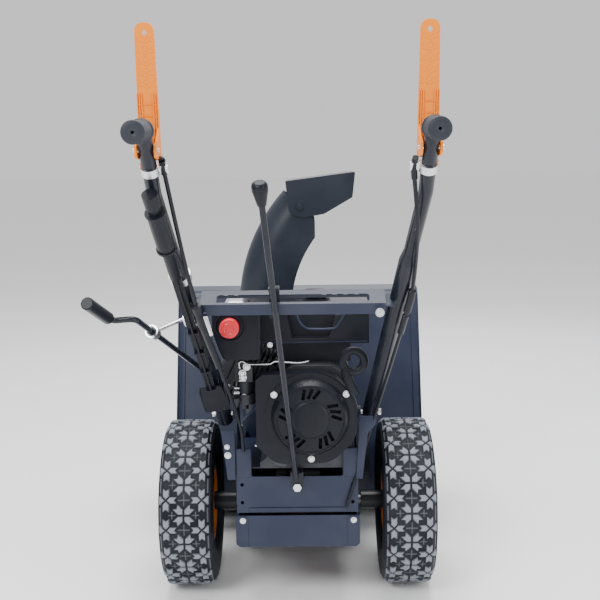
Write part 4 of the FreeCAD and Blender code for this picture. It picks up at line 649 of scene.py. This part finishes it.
class SNOWBLOWER_OT_recoil(bpy.types.Operator):
    """Rings and hub of the recoil cover, its bolts, and the starter handle's moulded bar"""
    bl_idname = "snowblower.recoil"
    bl_label = "Recoil starter"

    def execute(self, context):
        centre = np.array((26.0, -206.0, 390.0))
        rings = [lathe([(r - w, -0.4), (r - w * 0.6, h), (r + w * 0.6, h), (r + w, -0.4)], centre, BACKWARD,
                       72, True)
                 for r, w, h in ((35.5, 0.8, 0.8), (62.0, 1.2, 1.0), (60.0, 0.5, 0.5))]
        hub = lathe([(0, 1.8), (29, 1.8), (31, 1.4), (33, 0.2), (33, -0.4), (0, -0.4)], centre, BACKWARD, 64)
        build("recoil_rings", rings + [hub], "black_plastic", "frame")
        screws = []
        for x, z in ((-40, 433), (92, 433), (27, 311)):
            screws += hex_bolt((x, SCREW_SEAT_Y, z), BACKWARD, 4.6, 3.2, 1.2)
        build("recoil_screws", screws, "zinc_steel", "frame")
        # painted shade: a dark matt disc inside the recoil cover, behind its louvre slots, so the slots look
        # dark as if in shade
        slot_shade_disc = lathe([(0, 0), (58, 0), (58, 1.5), (0, 1.5)], (26, -194, 390), BACKWARD, 48)
        build("recoil_backing", [slot_shade_disc], "belt_rubber", "frame")
        boss = lathe([(0, -1), (6.5, -1), (7, 1.2), (5.5, 2.2), (3, 2.2), (2.6, 0.5), (0, 0.5)],
                     (26, -184, 464), BACKWARD, 28)
        build("housing_boss", [boss], "black_plastic", "frame")
        self.starter_handle()
        for node in ("recoil_cover", "blower_housing"):
            refined(node)
        return {"FINISHED"}

    def starter_handle(self):
        """A ring of oval section, a bar widening downward with three ridges, and the cord's end."""
        turn = np.linspace(0, 2 * np.pi, 49)[:-1]
        oval = np.column_stack([19.5 + 7.6 * np.cos(turn), 6.2 * np.sin(turn)])
        ring = lathe(oval, (104.5, -204, 498), BACKWARD, 56, True)
        path = smooth_path([(90, -203, 486), (93, -203, 470), (100, -202, 452), (107, -200, 436)], 8)
        bar = tube(path, np.linspace(8.6, 9.8, len(path)), 24)
        cord = tube([(104, -186, 441), (104.2, -199, 445)], 2.4, 12)
        ridges = [tube(path + (shift, -8.6 + 0.03 * shift * shift, shift * 0.5), 1.1, 8)
                  for shift in (-5, 0, 5)]
        build("recoil_grip", [ring, bar, cord] + ridges, "black_plastic", "recoil_handle",
              ("recoil_handle",), 50)


# bent rods: radius, steps between points, points
RODS = (
    (1.0, 6, [(-96, -178, 488), (-70, -178, 488), (-48, -178, 488), (-40, -178, 492), (-30, -178, 493)]),
    (1.0, 6, [(-30, -178, 493), (-14, -178, 491), (8, -178, 490), (24, -178, 493)]),
    (1.2, 6, [(-102, -179, 480), (-103, -179, 491), (-97, -179, 494), (-92, -179, 490), (-93, -179, 481)]),
    (0.6, 8, [(-34, -190, 406), (-29, -190, 420), (-20, -190, 431), (-13, -190, 438)]),
)
# straight pins: radius, one end, other end
PINS = (
    (2.4, (-104, -173, 457), (-92, -173, 457.5)),
    (2.0, (-113, -173, 443), (-104, -173, 442.6)),
    (3.4, (-114, -173, 434), (-104, -173, 433.6)),
    (1.6, (-107, -172, 384), (-101, -172, 371)),
    (4.0, (-68, -160, 332), (-58, -160, 326)),
    (2.4, (-78, -160, 330), (-70, -160, 327)),
)
# nuts: radius, centre
NUTS = (
    (5.0, (-90, -171, 482)), (5.0, (-98, -171, 470)), (5.0, (-97, -171, 462)), (4.5, (-96, -166, 424)),
    (4.0, (-60, -152, 392)), (4.0, (-48, -152, 372)), (4.0, (-44, -152, 364)), (3.6, (-46, -178, 524)),
)


class SNOWBLOWER_OT_engine_parts(bpy.types.Operator):
    """Throttle rods, pins, nuts and plugs around the engine"""
    bl_idname = "snowblower.engine_parts"
    bl_label = "Engine small parts"

    def execute(self, context):
        shapes = [tube(smooth_path(points, steps), radius, 8) for radius, steps, points in RODS]
        shapes += [tube(np.linspace(start, end, 4), radius, 10) for radius, start, end in PINS]
        for radius, centre in NUTS:
            shapes += hex_bolt(centre, BACKWARD, radius, 4.0, 1.2)
        build("engine_rods", shapes, "zinc_steel", "frame")
        cone = lathe([(0, -8), (3, -8), (7.5, 4), (7.5, 9), (0, 9)], (-110, -174, 415), (0, 0, 1), 24)
        plug = lathe([(0, -12), (7, -12), (7.4, -11), (9, 10), (8.6, 11), (0, 11)], (-30, -160, 296),
                     (1, 0, -0.15), 24)
        build("engine_plugs", [cone, plug], "cast_aluminium", "frame")
        return {"FINISHED"}


class SNOWBLOWER_OT_tank(bpy.types.Operator):
    """Seam and raised bar of the fuel tank, cover of the carburettor, and ring of the push button"""
    bl_idname = "snowblower.tank"
    bl_label = "Tank and cover"

    def execute(self, context):
        bar = [(2, -131.5, 572), (9, -131.5, 556), (20, -131.5, 546), (32, -131.5, 544), (64, -131.5, 544),
               (75, -131.5, 547), (86, -131.5, 562), (99, -131.5, 588)]
        seam = [(-84, -130.4, 520), (20, -130.8, 519), (134, -130.4, 520)]
        lines = [tube(smooth_path(bar, 6), 2.4, 12), tube(smooth_path(seam, 4), 1.2, 8)]
        build("tank_lines", lines, "body_paint", "frame")
        for node in ("fuel_tank", "fuel_cap", "primer_button", "muffler"):
            refined(node, 0.0016)
        button = (-116, -205, 564)
        outline = rounded([(-129, 501), (-63, 501), (-61, 596), (-150, 596), (-150, 552), (-138, 519)],
                          (8, 9, 10, 10, 6, 6), 6)
        shell = placed(slab(outline, 0, 71, 4.0), (0, -134, 0), (1, 0, 0), (0, 0, 1))
        rim = lathe([(24.6, -0.5), (24.8, 2.4), (26, 3.2), (27.2, 2.4), (27.4, -0.5)], button, BACKWARD,
                    56, True)
        build("cover_shell", [shell, rim], "black_plastic", "frame", ("carburettor_cover",))
        ring = lathe([(8.2, 28.2), (9.2, 28.8), (10.2, 28.2), (9.2, 27.6)], button, BACKWARD, 40, True)
        build("button_ring", [ring], "red_plastic", "primer_button")
        return {"FINISHED"}


# ---- sheet metal and mouldings ----
# rear faces of the handle brackets, of the facings on the rear plate and of those on the belly pan
BRACKET_Y, FACING_Y, PAN_Y = -159.0, -155.2, -157.4
FACING_THICK = 1.8


def rear_sheet(corners, y, thick=2.0, radius=1.5):
    """A sheet square to the machine's length: its outline in X and Z, its rear face at the given Y."""
    outline = rounded(corners, radius, 4)
    return placed(slab(outline, 0, thick, 0.5), (0, y + thick, 0), (1, 0, 0), (0, 0, 1))


def rear_oblong(x0, x1, z0, z1, y, thick=2.0, radius=1.5):
    """A rear sheet with four square corners."""
    return rear_sheet([(x0, z0), (x1, z0), (x1, z1), (x0, z1)], y, thick, radius)


class SNOWBLOWER_OT_brackets(bpy.types.Operator):
    """Handle brackets, plate facings, dash bolts and clips at the back of the frame"""
    bl_idname = "snowblower.brackets"
    bl_label = "Rear brackets"

    def execute(self, context):
        right = rear_sheet([(116, 384), (150, 384), (148, 368), (133, 350), (123, 262), (111, 262),
                            (116, 352)], BRACKET_Y)
        left = rear_sheet([(-141, 358), (-116, 358), (-116, 262), (-131, 262)], BRACKET_Y)
        wings = [rear_oblong(x0, x1, 266, 320.5, FACING_Y) for x0, x1 in ((-114, -87), (87, 114))]
        pan = [rear_oblong(x0, x1, 131, 189, PAN_Y, FACING_THICK, 5)
               for x0, x1 in ((-117.4, -94), (94, 117.4))]
        strip = rear_oblong(-92, 92, 197, 205, FACING_Y, FACING_THICK)
        build("rear_brackets", [right, left] + wings + pan + [strip], "body_paint", "frame")
        bolts = []
        for radius, centre in ((3.6, (-130.6, -159.2, 326.7)), (4.6, (-129.5, -159.2, 310.3)),
                               (5.2, (140.3, -373.6, 613.9)), (4.2, (-104, -157.6, 181)),
                               (4.2, (106, -157.6, 181))):
            bolts += hex_bolt(centre, BACKWARD, radius, 3.0, 1.4)
        build("rear_bolts", bolts, "zinc_steel", "frame")
        clip = rear_sheet([(-144, 612), (-137, 613), (-128.5, 582), (-133.5, 580)], -387, 2.5)
        build("handle_clip", [clip], "zinc_steel", "frame")
        return {"FINISHED"}


class SNOWBLOWER_OT_bodywork(bpy.types.Operator):
    """Bucket sides, frame, dash, deflector, crank's guide, tool and lever with softened edges"""
    bl_idname = "snowblower.bodywork"
    bl_label = "Bodywork"

    def execute(self, context):
        for node in ("bucket_side_left", "bucket_side_right", "scraper_bar", "skid_shoes", "frame_sides",
                     "engine_deck", "rear_plate", "belly_pan", "belt_cover", "dash_panel",
                     "handle_clamps", "chute_keepers", "crank_guide", "cleanout_tool", "shift_lever",
                     "deflector", "crankcase"):
            refined(node, 0.0008)
        return {"FINISHED"}


class SNOWBLOWER_OT_finishes(bpy.types.Operator):
    """Gives every CAD node its finish"""
    bl_idname = "snowblower.finishes"
    bl_label = "Finishes"

    def execute(self, context):
        for node in frame["nodes"].values():
            for slot in node.material_slots:
                slot.material = finish(slot_of(slot.material.name))
        return {"FINISHED"}


# ---- stage ----
FLOOR_REACH = 30
# lamps: name, place, width, power
LAMPS = (
    ("key", (-1.6, -2.6, 2.6), 1.2, 85), ("fill", (2.4, -2.2, 1.4), 1.6, 40),
    ("top", (0.0, 0.2, 3.2), 2.0, 110), ("rim", (0.6, 2.6, 2.0), 2.0, 18),
)
LAMP_TARGET = (0, -0.1, 0.45)
SKY_STRENGTH = 0.85
CAMERA_PLACE, CAMERA_LENS = (0.027, -1.950, 0.874), 59.4
CAMERA_YAW, CAMERA_PITCH, CAMERA_ROLL = math.radians(0.56), 0.15, math.radians(0.73)


def stage_object(name, data):
    """A new object that isn't part of the machine."""
    made = bpy.data.objects.new(name, data)
    bpy.context.scene.collection.objects.link(made)
    return made


class SNOWBLOWER_OT_stage(bpy.types.Operator):
    """Pale floor, soft lights and the camera"""
    bl_idname = "snowblower.stage"
    bl_label = "Stage"

    def execute(self, context):
        made = [self.floor()]
        for name, place, width, power in LAMPS:
            data = bpy.data.lights.new(name, "AREA")
            data.shape = "SQUARE"
            data.size = width
            data.energy = power
            lamp = stage_object(name, data)
            lamp.location = place
            aim = Vector(LAMP_TARGET) - Vector(place)
            lamp.rotation_euler = aim.to_track_quat("-Z", "Y").to_euler()
            made.append(lamp)
        world = bpy.data.worlds.new("studio")
        world.use_nodes = True
        sky = world.node_tree.nodes["Background"]
        sky.inputs["Color"].default_value = (1, 1, 1, 1)
        sky.inputs["Strength"].default_value = SKY_STRENGTH
        bpy.context.scene.world = world
        self.camera()
        return {"FINISHED"}

    def floor(self):
        """A square of matt white."""
        mesh = bpy.data.meshes.new("floor")
        reach = FLOOR_REACH
        corners = [(-reach, -reach, 0), (reach, -reach, 0), (reach, reach, 0), (-reach, reach, 0)]
        mesh.from_pydata(corners, [], [(0, 1, 2, 3)])
        pale = bpy.data.materials.new("pale_floor")
        pale.use_nodes = True
        shader = pale.node_tree.nodes["Principled BSDF"]
        shader.inputs["Base Color"].default_value = (0.97, 0.97, 0.97, 1)
        shader.inputs["Roughness"].default_value = 0.8
        mesh.materials.append(pale)
        return stage_object("floor", mesh)

    def camera(self):
        """The camera behind the machine, turned by its yaw and pitch and then rolled about its own line."""
        level = math.cos(CAMERA_PITCH)
        ahead = Vector((-math.sin(CAMERA_YAW) * level, math.cos(CAMERA_YAW) * level,
                        -math.sin(CAMERA_PITCH)))
        right = Vector((math.cos(CAMERA_YAW), math.sin(CAMERA_YAW), 0))
        above = right.cross(ahead)
        cos, sin = math.cos(CAMERA_ROLL), math.sin(CAMERA_ROLL)
        right, above = right * cos - above * sin, above * cos + right * sin
        data = bpy.data.cameras.new("camera")
        data.lens = CAMERA_LENS
        camera = stage_object("camera", data)
        turn = Matrix((right, above, -ahead)).transposed().to_4x4()
        camera.matrix_world = Matrix.Translation(CAMERA_PLACE) @ turn
        bpy.context.scene.camera = camera


OPERATORS = (
    SNOWBLOWER_OT_tyres, SNOWBLOWER_OT_levers, SNOWBLOWER_OT_grips, SNOWBLOWER_OT_cables,
    SNOWBLOWER_OT_recoil, SNOWBLOWER_OT_engine_parts, SNOWBLOWER_OT_tank, SNOWBLOWER_OT_brackets,
    SNOWBLOWER_OT_bodywork, SNOWBLOWER_OT_finishes, SNOWBLOWER_OT_stage,
)


class SNOWBLOWER_PT_panel(bpy.types.Panel):
    """Lists the pieces of the snow blower"""
    bl_idname = "SNOWBLOWER_PT_panel"
    bl_label = "Snow Blower"
    bl_space_type = "VIEW_3D"
    bl_region_type = "UI"
    bl_category = "Snow Blower"

    def draw(self, context):
        for operator in OPERATORS:
            self.layout.operator(operator.bl_idname)


CLASSES = (SnowBlowerSizes, SnowBlowerColours) + OPERATORS + (SNOWBLOWER_PT_panel,)


def register():
    for item in CLASSES:
        bpy.utils.register_class(item)
    bpy.types.Scene.snow_blower_sizes = bpy.props.PointerProperty(type=SnowBlowerSizes)
    bpy.types.Scene.snow_blower_colours = bpy.props.PointerProperty(type=SnowBlowerColours)


def unregister():
    del bpy.types.Scene.snow_blower_colours
    del bpy.types.Scene.snow_blower_sizes
    for item in reversed(CLASSES):
        bpy.utils.unregister_class(item)


def main():
    register()
    for operator in OPERATORS:
        space, name = operator.bl_idname.split(".")
        getattr(getattr(bpy.ops, space), name)()


if __name__ == "__main__":
    main()
